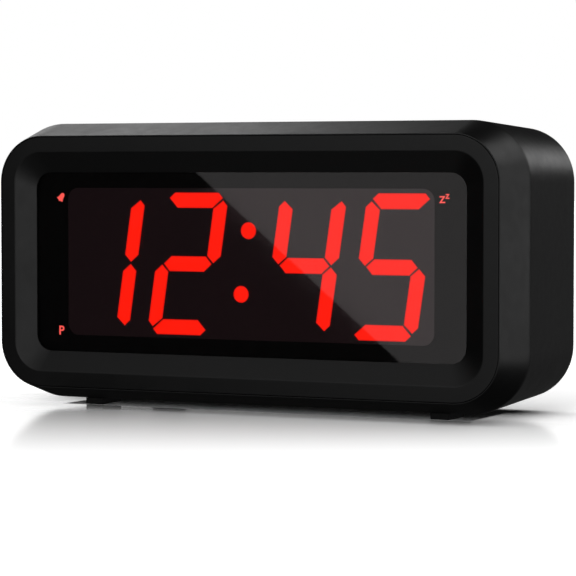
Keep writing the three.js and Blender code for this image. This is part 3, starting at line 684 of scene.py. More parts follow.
def build_shell():
    rear = CHAMFER - TAPER
    slope = CHAMFER / CHAMFER_DEPTH
    bm = solid(add_ring, ring_profile(
        (0, 0, 0.12),
        (CHAMFER, CHAMFER_DEPTH, 0.7),
        (rear, BODY_DEPTH, 0.8),
        (rear - REAR_RIM, BODY_DEPTH, 0.2),
        (rear - REAR_RIM, COVER_SEAT, 0),
        (rear - WALL + 0.1, COVER_SEAT, 0),
        (CHAMFER - WALL, CHAMFER_DEPTH, 0),
        (slope * SEAT_DEPTH - WALL, SEAT_DEPTH, 0),
        (-SEAM, SEAT_DEPTH, 0),
        (-SEAM, 0, 0.05),
    ))
    low, high = (MIDDLE + height for height in SNOOZE_OPENING)
    steps = [(CUT, solid(add_column, snooze_plan(SNOOZE_MARGIN), lambda depth: low, lambda depth: high))]
    for side in (1, -1):
        centre = (side * SCREW_PLACE[0], SCREW_PLACE[1])
        steps.append((JOIN, solid(add_prism, circle(centre, SCREW_POST[0]), SCREW_POST[1], COVER_SEAT)))
        steps.append((CUT, solid(add_prism, circle(centre, SCREW_BORE[0]), SCREW_BORE[1], BEHIND)))
    shell = carved(bm, *steps)
    add_piece("shell_skin", shell, [case_plastic], "case_plastic", ["main_shell"])


build_shell()
for foot in ("front_left", "front_right", "rear_left", "rear_right"):
    softened(f"foot_{foot}", [foot_rubber], "foot_rubber", rounding=0.25, segments=3)

# ---- front bezel, lens, mask and symbols


# The bezel: a flat ring, then a slope down to the lens. Behind the lens's edge it has a collar.
RING = 3.7
RING_CORNER = 6.6
SLOPE = 4.45
COLLAR = 2.2
COLLAR_CORNER = 3.95
SKIRT = 1.65
BEZEL_BACK = 5.5
BEZEL_GAP = 0.1

# Width, height and corner radius.
LENS_OPENING = (103.9, 40, 3.75)
WINDOW = (88.7, 32.9, 2.6)
WINDOW_RISE = 0.12
FILM_THICKNESS = 0.12
FILM_MARGIN = 1.8


def build_bezel():
    lens_edge = -RING - SLOPE
    outer = -SEAM - BEZEL_GAP
    step = SEAT_DEPTH - 0.05
    lens_touch = LENS_DEPTH - 0.02
    opening_corner = LENS_OPENING[2]
    bezel = solid(add_ring, ring_profile(
        (outer, 0, 0.22),
        (outer, step, 0.1),
        (-SKIRT, step, 0),
        (-SKIRT, BEZEL_BACK, 0.2),
        (lens_edge + COLLAR, BEZEL_BACK, 0.2, COLLAR_CORNER),
        (lens_edge + COLLAR, lens_touch, 0, COLLAR_CORNER),
        (lens_edge, lens_touch, 0.04, opening_corner),
        (lens_edge, lens_touch - 0.2, 0.05, opening_corner),
        (-RING, 0, 0.3, RING_CORNER),
    ))
    add_piece("bezel_skin", bezel, [bezel_plastic], "case_plastic", ["front_bezel"])


def build_mask():
    width, height, radius = LENS_OPENING
    plan = outline(width + 2 * FILM_MARGIN, height + 2 * FILM_MARGIN, radius, (0, MIDDLE))
    sheet = solid(add_prism, plan, FILM_DEPTH, FILM_DEPTH + FILM_THICKNESS)
    window = solid(add_prism, outline(*WINDOW, (0, MIDDLE + WINDOW_RISE)), FILM_DEPTH - 1, FILM_DEPTH + 1)
    mask = carved(sheet, (CUT, window))
    add_piece("mask_skin", mask, [mask_material], "mask_print", ["mask_film"])


def set_glow(piece, values=None):
    """Gives each corner of a piece its share of full brightness: all of it, unless values says less."""
    attribute = piece.data.attributes.new("glow", "FLOAT", "POINT")
    for i, datum in enumerate(attribute.data):
        datum.value = values[i] if values else 1.0


SYMBOL_DEPTH = FILM_DEPTH - 0.005
SYMBOL_THICKNESS = 0.05
STROKE_WEIGHT = 0.06
BELL_PLACE = (-46.1, 14.4)
BELL_TILT = radians(-36)
BELL_SCALE = 0.87
BELL_SIDE = (
    (0, 1.3), (0.33, 1.22), (0.55, 0.95), (0.62, 0.5), (0.72, -0.2), (1.05, -0.72), (0.3, -0.85), (0, -1.15),
)
LETTERS = (  # name, letter, size, place across, height above the middle
    ("symbol_pm", "P", 2.8, -46.12, -15.5),
    ("symbol_snooze_large", "Z", 1.98, 46.1, 14.25),
    ("symbol_snooze_small", "Z", 1.3, 47.25, 14.95),
)


def build_symbols():
    """The lit symbols in the mask: a bell, a P and two small Zs."""
    points = []
    for x, z in BELL_SIDE[::-1] + tuple((-x, z) for x, z in BELL_SIDE[1:-1]):
        across = BELL_SCALE * (x * cos(BELL_TILT) - z * sin(BELL_TILT))
        up = BELL_SCALE * (x * sin(BELL_TILT) + z * cos(BELL_TILT))
        points.append((BELL_PLACE[0] + across, MIDDLE + BELL_PLACE[1] + up))
    bell = solid(add_prism, points, SYMBOL_DEPTH, SYMBOL_DEPTH + SYMBOL_THICKNESS)
    set_glow(add_piece("symbol_alarm", bell, [lit_symbol], "led_epoxy"))
    for name, letter, size, x, z in LETTERS:
        centre = place(x, SYMBOL_DEPTH + 0.02, MIDDLE + z)
        set_glow(add_label(name, letter, size, centre, FACING_FRONT, lit_symbol, "case", SYMBOL_THICKNESS,
                           STROKE_WEIGHT, "led_epoxy"))


build_bezel()
build_mask()
build_symbols()

# ---- display

DIGIT_HEIGHT = 31.2
DIGIT_WIDTH = 15.8
SEGMENT_WIDTH = 3.35
SLANT = 0.148
GUIDE_BACK = 8
COLON_DOTS = ((0.8, 7.4), (-1.0, -6.4))
COLON_RADIUS = 1.83
LIT_SEGMENTS = {"hour_tens": "BC", "hour_units": "ABGED", "minute_tens": "FGBC", "minute_units": "AFGCD"}
DIM_EDGE = 0.45
HOUSING_WALL = 1.2


def segment_outlines():
    """The seven segments of an upright digit about its centre, by letter, anticlockwise."""
    half_height = DIGIT_HEIGHT / 2
    half_width = DIGIT_WIDTH / 2
    inner_x = half_width - SEGMENT_WIDTH
    inner_z = half_height - SEGMENT_WIDTH
    bar = SEGMENT_WIDTH / 2
    top = [
        (-6.55, half_height - 1.18), (-4.3, inner_z), (4.3, inner_z),
        (6.55, half_height - 1.18), (5.37, half_height), (-5.37, half_height),
    ]
    upper_right = [
        (6.72, half_height - 1.7), (inner_x, inner_z - 0.16), (inner_x, bar + 0.14),
        (6.27, 0.22), (half_width, 1.78), (half_width, half_height - 2.9),
    ]
    centre = [(-5.9, 0), (-4.25, -bar), (4.25, -bar), (5.9, 0), (4.25, bar), (-4.25, bar)]

    def mirror(points, sign_x, sign_z):
        turned = [(sign_x * x, sign_z * z) for x, z in points]
        return turned if sign_x * sign_z > 0 else turned[::-1]

    return {
        "A": top, "B": upper_right, "C": mirror(upper_right, 1, -1), "D": mirror(top, 1, -1),
        "E": mirror(upper_right, -1, -1), "F": mirror(upper_right, -1, 1), "G": centre,
    }


def add_light_guide(bm, points, glow):
    """A lit shape standing in the display's face, with its edge given less of the glow than its middle."""
    front = HOUSING_DEPTH - 0.02
    layers = ((front, shrunk(points, DIM_EDGE)), (front, points), (GUIDE_BACK, points))
    add_rings(bm, [[(x, depth, z) for x, z in layer] for depth, layer in layers])
    glow += [1.0] * len(points) + [0.0] * (2 * len(points))


def build_digits():
    for position, lit in LIT_SEGMENTS.items():
        node = f"digit_guide_{position}"
        low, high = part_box(node)
        centre_x = (low.x + high.x) / 2 / MM
        bm = bmesh.new()
        glow = []
        for letter, points in segment_outlines().items():
            if letter in lit:
                add_light_guide(bm, [(centre_x + x + SLANT * z, MIDDLE + z) for x, z in points], glow)
        set_glow(add_piece(f"digit_{position}", bm, [lit_digit], "led_epoxy", [node]), glow)
    bm = bmesh.new()
    glow = []
    for x, z in COLON_DOTS:
        add_light_guide(bm, circle((x, MIDDLE + z), COLON_RADIUS), glow)
    set_glow(add_piece("colon", bm, [lit_digit], "led_epoxy", ["colon_guide"]), glow)


def build_housing():
    """The box that holds the digits, open at the back."""

    def block(inset, depths):
        across = (housing_high.x - housing_low.x) / 2 - inset
        up = (housing_high.z - housing_low.z) / 2 - inset
        return solid(add_box, span(across), depths, span(up, MIDDLE))

    back = housing_high.y - FRONT
    housing = carved(block(0, (HOUSING_DEPTH, back)), (CUT, block(HOUSING_WALL, (GUIDE_BACK, back + 1))))
    add_piece("housing_skin", housing, [face_material], "inner_plastic", ["display_housing"], rounding=0.2)


build_housing()
build_digits()

# ---- snooze bar


BAR_PROUD = 0.2
BAR_EDGE = 0.45
BAR_EDGE_STEPS = 5
FLANGE_TOP = 60.25
FLANGE = (span(32), (15.6, 29.9), (59.1, FLANGE_TOP))
BAR_HOLLOW = (span(28), (18.8, 27.2), (58, 61.8))
BAR_LEG = (span(2.2), (14.9, 18.9), (56.4, 60.2))


def build_snooze_bar():
    rings = [[(x, depth, FLANGE_TOP - 0.5) for x, depth in snooze_plan(0)]]
    for step in range(BAR_EDGE_STEPS + 1):
        angle = step / BAR_EDGE_STEPS * pi / 2
        rise = BAR_PROUD - BAR_EDGE * (1 - sin(angle))
        plan = snooze_plan(-BAR_EDGE * (1 - cos(angle)))
        rings.append([(x, depth, topside(depth) + rise) for x, depth in plan])
    steps = zip((JOIN, CUT, JOIN), (FLANGE, BAR_HOLLOW, BAR_LEG))
    bar = carved(solid(add_rings, rings), *((operation, solid(add_box, *box)) for operation, box in steps))
    add_skin("snooze_bar", bar, [case_plastic], "case_plastic", body="snooze")
    tilt = Matrix.Rotation(-atan(TAPER / (BODY_DEPTH - CHAMFER_DEPTH)), 4, "X")
    centre = place(0, SNOOZE_DEPTH, topside(SNOOZE_DEPTH) + BAR_PROUD + INK_LIFT)
    add_label("snooze_label", "SNOOZE", 3.6, centre, tilt, white_ink, "snooze")


build_snooze_bar()

# ---- rear cover and battery door

COVER_DEPTH = 38.2
KEY_HEIGHT = 50
KEYS = {"time": (26, "TIME"), "alarm": (12, "ALARM"), "hour": (-2, "HOUR"), "minute": (-16, "MIN")}
KEY_RADIUS = 4.1
SLIDER_PLACE = -35.5
SLIDER_TRAVEL = 3
BUZZER_PLACE = 41
PANEL = ((-43.5, 47.5), (42.2, 57.8))
PANEL_DEPTH = 39.6
GRILLE_PITCH = 3.2
BAY_HALF = 52.8
BAY_FLOOR = 23.7
BAY_HEIGHTS = (8.3, 38.8)
RIB = (span(40), (BAY_FLOOR - 0.5, BAY_FLOOR + 4), span(0.6, sum(BAY_HEIGHTS) / 2))
DOOR_HALF = 54.5
DOOR_HEIGHTS = (door_low.z, door_high.z)
DOOR_THICKNESS = 2.2
THROUGH = (COVER_DEPTH - 1, COVER_BACK + 1)
TUB_WALL = 1.1
DOOR_SIDE_GAP = 0.15
DOOR_END_GAP = 0.2
DOOR_CORNER = 1.2
DOOR_TOP = DOOR_HEIGHTS[1]
DOOR_TRIM = (span(DOOR_HALF), (-9, DOOR_TOP), DOOR_CORNER)  # from below the door, to round only its top
LATCH_NOTCH = (span(8), (DOOR_TOP - 4, DOOR_TOP + 1.9), 1.6)
NOTCH_FLOOR = 39.4
TONGUE_HOLE = (span(5), (DOOR_TOP - 3.4, DOOR_TOP - 1.6), 0.8)
GROOVES = 4
GROOVE_PITCH = 1.4
GROOVE_SIZE = (14, 0.7, 0.35)
TOP_GROOVE = DOOR_TOP - 5.5
SLIDER_HALF = (2.2, 1.8)  # half the size of its hole, with the slider at one end
GRILLE_HOLE = 0.8
SCREW_WELL = (3, COVER_DEPTH + 0.9)
HINGE_RADIUS = DOOR_THICKNESS / 2
HINGE_AXIS = (COVER_BACK - HINGE_RADIUS, DOOR_HEIGHTS[0] + HINGE_RADIUS)
PIN_RADIUS = 0.6
PIN_REACH = 1.3
SOCKET_GAP = 0.2


def rounded_box(across, heights, radius, steps=8):
    """The outline of a rectangle with rounded corners, between two limits each way."""
    centre = (sum(across) / 2, sum(heights) / 2)
    return outline(across[1] - across[0], heights[1] - heights[0], radius, centre, steps)


def build_rear_cover():
    """A plate with a tub for the cells, a seat for the door and a sunken panel for the keys."""
    width = cover_high.x - cover_low.x
    height = 2 * (cover_high.z - MIDDLE)
    radius = FACE[2] + CHAMFER - TAPER - REAR_RIM - 0.1
    plate = solid(add_prism, outline(width, height, radius, (0, MIDDLE)), COVER_DEPTH, COVER_BACK)
    bottom, top = BAY_HEIGHTS
    tub = solid(add_box, span(BAY_HALF + TUB_WALL), (BAY_FLOOR - TUB_WALL, COVER_DEPTH + 0.1),
                (bottom - TUB_WALL, top + TUB_WALL))
    bay = solid(add_box, span(BAY_HALF), (BAY_FLOOR, BEHIND), BAY_HEIGHTS)
    rib = solid(add_box, *RIB)
    across = span(DOOR_HALF + DOOR_SIDE_GAP)
    low, high = DOOR_HEIGHTS[0] - DOOR_END_GAP, DOOR_HEIGHTS[1] + DOOR_END_GAP
    seat = rounded_box(across, (low, high), DOOR_CORNER)
    seat = seat[:len(seat) // 2] + [(across[0], low), (across[1], low)]
    door_seat = solid(add_prism, seat, COVER_BACK - DOOR_THICKNESS - DOOR_SIDE_GAP, BEHIND)
    reach = DOOR_HALF + PIN_REACH + SOCKET_GAP
    radius = PIN_RADIUS + SOCKET_GAP
    sockets = solid(add_turned, [(0, -reach), (radius, -reach), (radius, reach), (0, reach)],
                    at(0, *HINGE_AXIS) @ Matrix.Rotation(pi / 2, 4, "Z"), 32)
    notch = solid(add_prism, rounded_box(*LATCH_NOTCH), NOTCH_FLOOR, BEHIND)
    panel = solid(add_prism, rounded_box(*PANEL, 2.2), PANEL_DEPTH, BEHIND)
    holes = bmesh.new()
    for x, _ in KEYS.values():
        add_prism(holes, circle((x, KEY_HEIGHT), KEY_RADIUS + 0.3, 64), *THROUGH)
    wide, tall = SLIDER_HALF
    across = (SLIDER_PLACE - wide, SLIDER_PLACE + wide + SLIDER_TRAVEL)
    add_prism(holes, rounded_box(across, span(tall, KEY_HEIGHT), 0.5), *THROUGH)
    add_prism(holes, circle((BUZZER_PLACE, KEY_HEIGHT), GRILLE_HOLE, 24), *THROUGH)
    for step in range(6):
        x, z = (GRILLE_PITCH * turn(step * pi / 3) for turn in (cos, sin))
        add_prism(holes, circle((BUZZER_PLACE + x, KEY_HEIGHT + z), GRILLE_HOLE, 24), *THROUGH)
    wells = bmesh.new()
    for side in (1, -1):
        centre = (side * SCREW_PLACE[0], SCREW_PLACE[1])
        add_prism(holes, circle(centre, 1.6, 32), COVER_DEPTH - 1, 40)
        add_prism(wells, circle(centre, SCREW_WELL[0], 48), SCREW_WELL[1], BEHIND)
    cover = carved(
        plate, (JOIN, tub), (CUT, bay), (JOIN, rib), (CUT, door_seat), (CUT, sockets), (CUT, notch),
        (CUT, panel), (CUT, holes), (CUT, wells),
    )
    add_skin("rear_cover", cover, [case_plastic], "case_plastic", sharp=30, rounding=0.15)


def build_door():
    """A lid with a round lower edge about its hinge, four thumb grooves and a hole for the latch's tongue."""
    front = COVER_BACK - DOOR_THICKNESS
    barrel = [
        (HINGE_AXIS[0] + HINGE_RADIUS * cos(a), HINGE_AXIS[1] - HINGE_RADIUS * sin(a))
        for a in (pi * step / 16 for step in range(17))
    ]
    panel = solid(add_section, [(front, DOOR_TOP), (COVER_BACK, DOOR_TOP), *barrel], span(DOOR_HALF))
    corners = solid(add_prism, rounded_box(*DOOR_TRIM), front - 1, COVER_BACK + 1)
    grooves = bmesh.new()
    width, tall, deep = GROOVE_SIZE
    for row in range(GROOVES):
        high = TOP_GROOVE - GROOVE_PITCH * row
        groove = rounded_box(span(width / 2), (high - tall, high), 0.34, 6)
        add_prism(grooves, groove, COVER_BACK - deep, BEHIND)
    tongue = solid(add_prism, rounded_box(*TONGUE_HOLE), front - 1, BEHIND)
    door = carved(panel, (TRIM, corners), (CUT, grooves), (CUT, tongue))
    add_skin("battery_door", door, [case_plastic], "case_plastic", body="door", sharp=30, rounding=0.15)
    pins = bmesh.new()
    profile = [
        (0, -0.5), (PIN_RADIUS, -0.5), (PIN_RADIUS, PIN_REACH - 0.15), (PIN_RADIUS - 0.15, PIN_REACH),
        (0, PIN_REACH),
    ]
    for side in (1, -1):
        sideways = at(side * DOOR_HALF, *HINGE_AXIS) @ Matrix.Rotation(-side * pi / 2, 4, "Z")
        add_turned(pins, profile, sideways, 24)
    add_piece("hinge_pins", pins, [case_plastic], "case_plastic", body="door")


build_rear_cover()
build_door()

# ---- keys, slider and case screws

# A key's section, as (radius, depth): a stem, a flange, a round rim and a dished top.
KEY_PROFILE = (
    (0, 35.85), (1.6, 35.85), (1.6, 36.9), (5.2, 36.9), (5.2, 37.8), (KEY_RADIUS, 37.8), (KEY_RADIUS, 40.4),
    (4.07, 40.53), (3.98, 40.65), (3.84, 40.74), (3.66, 40.79), (3.45, 40.8), (3.25, 40.76), (2.8, 40.66),
    (2.1, 40.56), (1.1, 40.5), (0, 40.48),
)
WORDS_RISE = 5.9
SLIDER_WORDS = (  # piece, words, place across, height above the slider
    ("slider_off_label", "OFF", SLIDER_PLACE - 0.5, 3.6),
    ("slider_on_label", "ON", SLIDER_PLACE + SLIDER_TRAVEL + 1.7, 3.6),
    ("slider_label", "ALARM", SLIDER_PLACE + SLIDER_TRAVEL / 2, WORDS_RISE),
)


def add_panel_words(name, words, size, x, rise):
    centre = place(x, PANEL_DEPTH + INK_LIFT, KEY_HEIGHT + rise)
    add_label(name, words, size, centre, FACING_BACK, white_ink)


def build_keys():
    for key, (x, words) in KEYS.items():
        cap = solid(add_turned, KEY_PROFILE, at(x, 0, KEY_HEIGHT), 72)
        add_skin(f"{key}_button", cap, [key_plastic], "key_plastic", body=f"{key}_key")
        add_panel_words(f"{key}_label", words, 2.1, x, WORDS_RISE)
    for name, words, x, rise in SLIDER_WORDS:
        add_panel_words(name, words, 1.9, x, rise)


# The screws, with depths from the front of the head.
SHANK_RADIUS = 1.3
THREAD_ROOT = 1.1
THREADS = 12
THREAD_START = -9.2
THREAD_LENGTH = 8.6
SCREW_TIP = ((0, -10.2), (0.7, -10.2), (SHANK_RADIUS, THREAD_START))
SCREW_HEAD = (
    (SHANK_RADIUS, -0.3), (SHANK_RADIUS, 0), (2.6, 0), (2.6, 0.5), (2.5, 0.85), (2.2, 1.1), (1.6, 1.25),
    (0, 1.3),
)
CROSS_ARM = 1.6
CROSS_HALF = 0.33
CROSS_DEPTHS = (0.4, 2)


def build_case_screws():
    head_front = COVER_DEPTH + 0.95
    profile = list(SCREW_TIP)
    for thread in range(THREADS):
        depth = THREAD_START + THREAD_LENGTH * thread / THREADS
        profile += [(SHANK_RADIUS, depth + 0.05), (THREAD_ROOT, depth + 0.36)]
    profile = [(radius, head_front + depth) for radius, depth in (*profile, *SCREW_HEAD)]
    deep = [head_front + depth for depth in CROSS_DEPTHS]
    z = SCREW_PLACE[1]
    for side, x in (("left", -SCREW_PLACE[0]), ("right", SCREW_PLACE[0])):
        screw = solid(add_turned, profile, at(x, 0, z), 40)
        cross = bmesh.new()
        for wide, tall in ((CROSS_ARM, CROSS_HALF), (CROSS_HALF, CROSS_ARM)):
            add_box(cross, span(wide, x), deep, span(tall, z))
        add_skin(f"case_screw_{side}", carved(screw, (CUT, cross)), [screw_steel], "steel")


build_keys()
softened("alarm_slider", [key_plastic], "key_plastic", body="alarm_slide", rounding=0.12)
build_case_screws()

# ---- cells and contacts

CELL_RADIUS = 7.1
CELL_LENGTH = 50.2


def build_cells():
    """Four cells: a steel can in shrink film, with a copper-coloured band at the button end."""
    shoulder = CELL_LENGTH - 1.4
    profile = [
        (0, 0.15), (4.4, 0.15), (4.7, 0), (6.3, 0), (6.6, 0.1), (6.95, 0.35), (CELL_RADIUS, 0.7),
        (CELL_RADIUS, 36.5), (CELL_RADIUS, shoulder - 0.6), (6.95, shoulder - 0.2), (6.6, shoulder),
        (5.9, shoulder - 0.05), (5.6, shoulder - 0.35), (3.2, shoulder - 0.35), (2.9, shoulder - 0.1),
        (2.75, shoulder + 0.3), (2.75, CELL_LENGTH - 0.35), (2.6, CELL_LENGTH - 0.1), (2.3, CELL_LENGTH),
        (0, CELL_LENGTH),
    ]
    steel, dark, accent = 0, 1, 2
    bands = [steel] * 3 + [dark] * 4 + [accent] * 4 + [steel] * 8
    for row, turn in (("upper", -pi / 2), ("lower", pi / 2)):
        for number in (1, 2):
            node = f"cell_{row}_{number}"
            low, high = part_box(node)
            start = low.x if turn < 0 else high.x
            middle = Vector((start, (low.y + high.y) / 2, (low.z + high.z) / 2))
            matrix = Matrix.Translation(middle) @ Matrix.Rotation(turn, 4, "Z")
            cell = solid(add_turned, profile, matrix, 64, bands)
            add_skin(node, cell, [contact_nickel, wrap_dark, wrap_accent], "cell_wrap")


SPRING_TURNS = 2.5
SPRING_STEPS = 90
SPRING_RADII = (4.4, 2.5)
SPRING_REACH = (0.3, 3.7)
SPRING_DEPTH = 31
WIRE_RADIUS = 0.3
PLATE_HALF = 5
PLATE_THICKNESS = 0.4
PLATE_DEPTHS = (26, 36)
TAB_HALF = 1.4
TAB_LENGTH = 2.6
TAB_DEPTHS = (25.8, 28.2)
LOWER_ROW = 15.9
UPPER_ROW = 31.2
CONTACTS = {  # side, lowest and highest row, row with a spring
    "link_contact": (-1, LOWER_ROW, UPPER_ROW, UPPER_ROW),
    "negative_contact": (1, LOWER_ROW, LOWER_ROW, LOWER_ROW),
    "positive_contact": (1, UPPER_ROW, UPPER_ROW, None),
}


def spring_points(start, direction, height):
    """The centre line of a tapering coil that stands on a contact plate."""
    points = []
    for step in range(SPRING_STEPS + 1):
        share = step / SPRING_STEPS
        angle = share * SPRING_TURNS * 2 * pi
        radius, reach = (first + (last - first) * share for first, last in (SPRING_RADII, SPRING_REACH))
        depth, rise = radius * cos(angle), radius * sin(angle)
        points.append(place(start + direction * reach, SPRING_DEPTH + depth, height + rise))
    return points


def build_contacts():
    for node, (side, lowest, highest, sprung) in CONTACTS.items():
        wall = side * (BAY_HALF - 0.02)
        low, high = lowest - PLATE_HALF, highest + PLATE_HALF
        bm = solid(add_box, sorted((wall, wall - side * PLATE_THICKNESS)), PLATE_DEPTHS, (low, high))
        if side > 0:
            add_box(bm, (wall - 0.1, wall + TAB_LENGTH), TAB_DEPTHS, span(TAB_HALF, (low + high) / 2))
        if sprung:
            add_tube(bm, spring_points(wall, -side, sprung), WIRE_RADIUS)
        add_skin(node, bm, [contact_nickel], "nickel")


build_cells()
build_contacts()

# ---- materials on the pieces kept from the CAD

PRESSED = ("snooze", "time", "alarm", "hour", "minute")
KEPT = {
    lens_material: ["lens_panel"],
    inner_plastic: [f"{name}_plunger" for name in PRESSED],
    lit_symbol: ["alarm_indicator", "pm_indicator", "snooze_indicator"],
    board_material: ["main_board", "key_board"],
    chip_plastic: ["clock_chip", "buzzer"] + [f"{name}_switch" for name in PRESSED],
    screw_steel: ["quartz_crystal", "slide_switch", "key_board_screw_1", "key_board_screw_2"]
    + [f"main_board_screw_{number}" for number in (1, 2, 3, 4)],
    sleeve_film: ["filter_capacitor"],
    red_insulation: ["red_wire"],
    black_insulation: ["black_wire"],
    ribbon_insulation: ["ribbon_cable"],
}

for material, names in KEPT.items():
    for name in names:
        slots = frame["nodes"][name].data.materials
        slots.clear()
        slots.append(material)

# ---- world, floor and lights

DIM = 0.012
WHITE = (1, 1, 1, 1)


def build_world():
    """White where the camera looks past the clock, and dim for everything else."""
    world = bpy.data.worlds.new("studio")
    scene.world = world
    world.use_nodes = True
    tree = world.node_tree
    dim = tree.nodes["Background"]
    white, path, mix = (
        tree.nodes.new(f"ShaderNode{kind}") for kind in ("Background", "LightPath", "MixShader")
    )
    dim.inputs["Color"].default_value = (DIM, DIM, DIM, 1)
    white.inputs["Color"].default_value = WHITE
    for output, socket in (
        (path.outputs["Is Camera Ray"], mix.inputs[0]),
        (dim.outputs[0], mix.inputs[1]),
        (white.outputs[0], mix.inputs[2]),
        (mix.outputs[0], tree.nodes["World Output"].inputs["Surface"]),
    ):
        tree.links.new(output, socket)


# The clock's underside, as a centre and half its size, and how the floor's polish fades, all in metres.
UNDERSIDE = ((0.0, 0.005, 0.0), (0.049, 0.0155, 0.0))
FADE_DIRECTION = (0.53, -0.85, 0.0)
FADE_LENGTH = 0.125
POLISH = 0.74
FLOOR_HALF = 4
FLOOR_WHITE = (0.92, 0.92, 0.92, 1)
FLOOR_ROUGHNESS = 0.12


def build_floor():
    """A white floor, polished in front of the clock and dull elsewhere."""
    bm = bmesh.new()
    bmesh.ops.create_grid(bm, x_segments=1, y_segments=1, size=FLOOR_HALF)
    floor = new_object("floor", as_mesh("floor", bm))
    net = Nodes("floor")
    centre, half = UNDERSIDE
    sideways = net.vector("ABSOLUTE", net.vector("SUBTRACT", net.place, centre))
    outside = net.vector("SUBTRACT", sideways, half)
    distance = net.vector("LENGTH", net.vector("MAXIMUM", outside))
    forward = net.vector("DOT_PRODUCT", net.place, FADE_DIRECTION)
    backward = net.vector("DOT_PRODUCT", net.place, (0, 1, 0))
    polish = net.ramp(forward, 0, FADE_LENGTH, POLISH, 0)
    for source, low, high, start, end in (
        (distance, 0.1, 0.14, 1, 0),
        (distance, 0, 0.001, 0, 1),
        (backward, -0.008, 0.012, 1, 0),
    ):
        polish = net.math("MULTIPLY", polish, net.ramp(source, low, high, start, end))
    dull = net.feed(net.add("BsdfDiffuse"), {"Color": FLOOR_WHITE})
    shiny = net.feed(net.add("BsdfGlossy"), {"Color": WHITE, "Roughness": FLOOR_ROUGHNESS})
    mixed = net.feed(net.add("MixShader"), {0: polish, 1: dull.outputs[0], 2: shiny.outputs[0]})
    net.tree.links.new(mixed.outputs[0], net.tree.nodes["Material Output"].inputs["Surface"])
    net.tree.nodes.remove(net.shader)
    floor.data.materials.append(net.material)
    floor.visible_glossy = floor.visible_transmission = floor.visible_diffuse = floor.visible_shadow = False
    return floor


def panel_light(name, matrix, width, height, radiance, only_glossy):
    """A soft rectangular light that isn't seen itself. It shines along its local -Z."""
    data = bpy.data.lights.new(name, "AREA")
    data.shape = "RECTANGLE"
    data.size = width
    data.size_y = height
    data.energy = radiance * pi * width * height
    light = new_object(name, data)
    light.matrix_world = matrix
    light.visible_camera = False
    light.visible_diffuse = not only_glossy
    return light


def softbox(name, azimuth, elevation, width, height, radiance, only_glossy=False, distance=1.2):
    """A panel aimed at the clock, placed in degrees and metres.

    Azimuth 0 is behind the clock, and 90 is to its right as seen from the front.
    """
    turn = radians(azimuth)
    rise = radians(elevation)
    away = Vector((sin(turn) * cos(rise), cos(turn) * cos(rise), sin(rise)))
    matrix = Matrix.Translation(Vector((0, 0, MIDDLE * MM)) + away * distance)
    matrix @= away.to_track_quat("Z", "Y").to_matrix().to_4x4()
    return panel_light(name, matrix, width, height, radiance, only_glossy)


# Where the lens card's edge crosses the lens, across and up from the middle, and the card's sizes in metres.
CARD_CROSSING = ((-11.9, 20.2), (36.5, -19.8))
CARD_DISTANCE = 0.5
CARD_WIDTH = 0.4
CARD_LENGTH = 0.8
CARD_SHIFT = 0.05
CARD_RADIANCE = 0.36


def lens_card():
    """The card that the lens mirrors, with one slanting edge crossing the lens."""
    plane = lens_front * MM
    eye = Vector(CAMERA_PLACE) * MM
    eye.y = 2 * plane - eye.y
    crossing = [Vector((x * MM, plane, (MIDDLE + z) * MM)) for x, z in CARD_CROSSING]
    middle = (crossing[0] + crossing[1]) / 2
    away = (middle - eye).normalized()
    reach = (middle - eye).length + CARD_DISTANCE
    ends = [eye + (point - eye) * reach / (point - eye).dot(away) for point in crossing]
    along = (ends[0] - ends[1]).normalized()
    across = away.cross(along)
    centre = (ends[0] + ends[1]) / 2 - across * CARD_WIDTH / 2 + along * CARD_SHIFT
    matrix = Matrix((along, across, away)).transposed().to_4x4()
    matrix.translation = centre
    return panel_light("lens_card", matrix, CARD_LENGTH, CARD_WIDTH, CARD_RADIANCE, only_glossy=True)


def sky_light(name, elevation, energy, spread):
    """A wide soft light from far off in front of the clock, equally strong all over the floor."""
    data = bpy.data.lights.new(name, "SUN")
    data.energy = energy
    data.angle = radians(spread)
    light = new_object(name, data)
    light.rotation_euler = (radians(90 - elevation), 0, 0)
    return light


def limit_light(light, pieces, state):
    """Makes a light reach only some pieces (INCLUDE) or all but those (EXCLUDE)."""
    group = bpy.data.collections.new(f"{light.name}_reach")
    for piece in pieces:
        group.objects.link(piece)
    for member in group.collection_objects:
        member.light_linking.link_state = state
    light.light_linking.receiver_collection = group


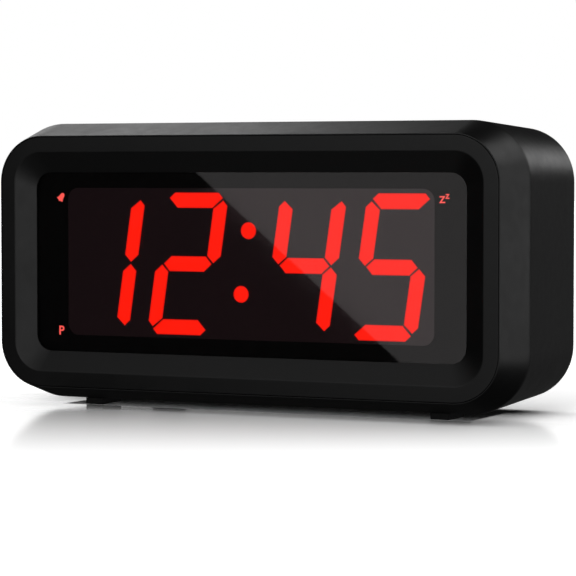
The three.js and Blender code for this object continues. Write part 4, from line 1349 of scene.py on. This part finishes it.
# Name, azimuth, elevation, width, height, radiance, True if only reflections show it, and distance.
CLOCK_LIGHTS = (
    ("back_left_panel", -43, 28, 0.55, 0.7, 1.2),
    ("upper_right_panel", 42, 37, 0.6, 0.58, 1.15),
    ("right_card", 57, 4, 0.4, 0.8, 0.95, True),
    ("low_strip", 12, 13.4, 0.5, 0.21, 1.65, True, 1.4),
    ("rear_card", 10, -12, 1.2, 0.8, 0.06, True),
    ("low_front_card", 206, -50, 0.9, 0.7, 0.1, True),
    ("front_panel", 154, 2, 0.45, 0.8, 1.2),
    ("face_card", 186, 15, 0.3, 0.5, 1.2, True),
    ("top_panel", 190, 72, 1.0, 1.0, 0.65),
)
BACK_LIGHTS = (
    ("rear_panel", -15, 4, 1.3, 1.0, 0.42),
    ("rear_top_panel", 15, 55, 0.6, 0.4, 1.2),
)
SHELL_LIGHTS = (
    ("left_panel", 250, -5, 1.2, 0.8, 0.8),
    ("right_panel", 106, -5, 0.8, 0.8, 0.7),
    ("high_front_panel", 185, 22, 1.0, 0.4, 0.6),
)
BACKDROPS = tuple(
    (f"backdrop_{number}", azimuth, 18, 4.2, 2.0, 1.0, True, 2.0)
    for number, azimuth in enumerate((-26, 64, 154, 244), 1)
)
SKIES = (("overhead_sky", 90, 3.6, 110), ("low_sky", 22, 2.4, 36))
BACK_PIECES = (
    "rear_cover", "battery_door", "hinge_pins", "case_screw", "alarm_slider", "time_button", "alarm_button",
    "hour_button", "minute_button",
)


def build_lights(floor):
    """Lights for the whole clock, and others that reach only the floor, the clock's back or its shell."""
    everything = list(scene.objects)
    back = [each for each in everything if each.name.startswith(BACK_PIECES) or each.name.endswith("_label")]
    shell = [each for each in everything if each.name in ("shell_skin", "snooze_bar_skin")]
    for light in [softbox(*settings) for settings in CLOCK_LIGHTS] + [lens_card()]:
        limit_light(light, [floor], "EXCLUDE")
    for light in [sky_light(*settings) for settings in SKIES]:
        limit_light(light, [floor], "INCLUDE")
    for settings, pieces in ((BACK_LIGHTS, back), (SHELL_LIGHTS, shell), (BACKDROPS, [floor])):
        for row in settings:
            limit_light(softbox(*row), pieces, "INCLUDE")


make_camera()
build_world()
build_lights(build_floor())
scene.view_settings.view_transform = "Standard"
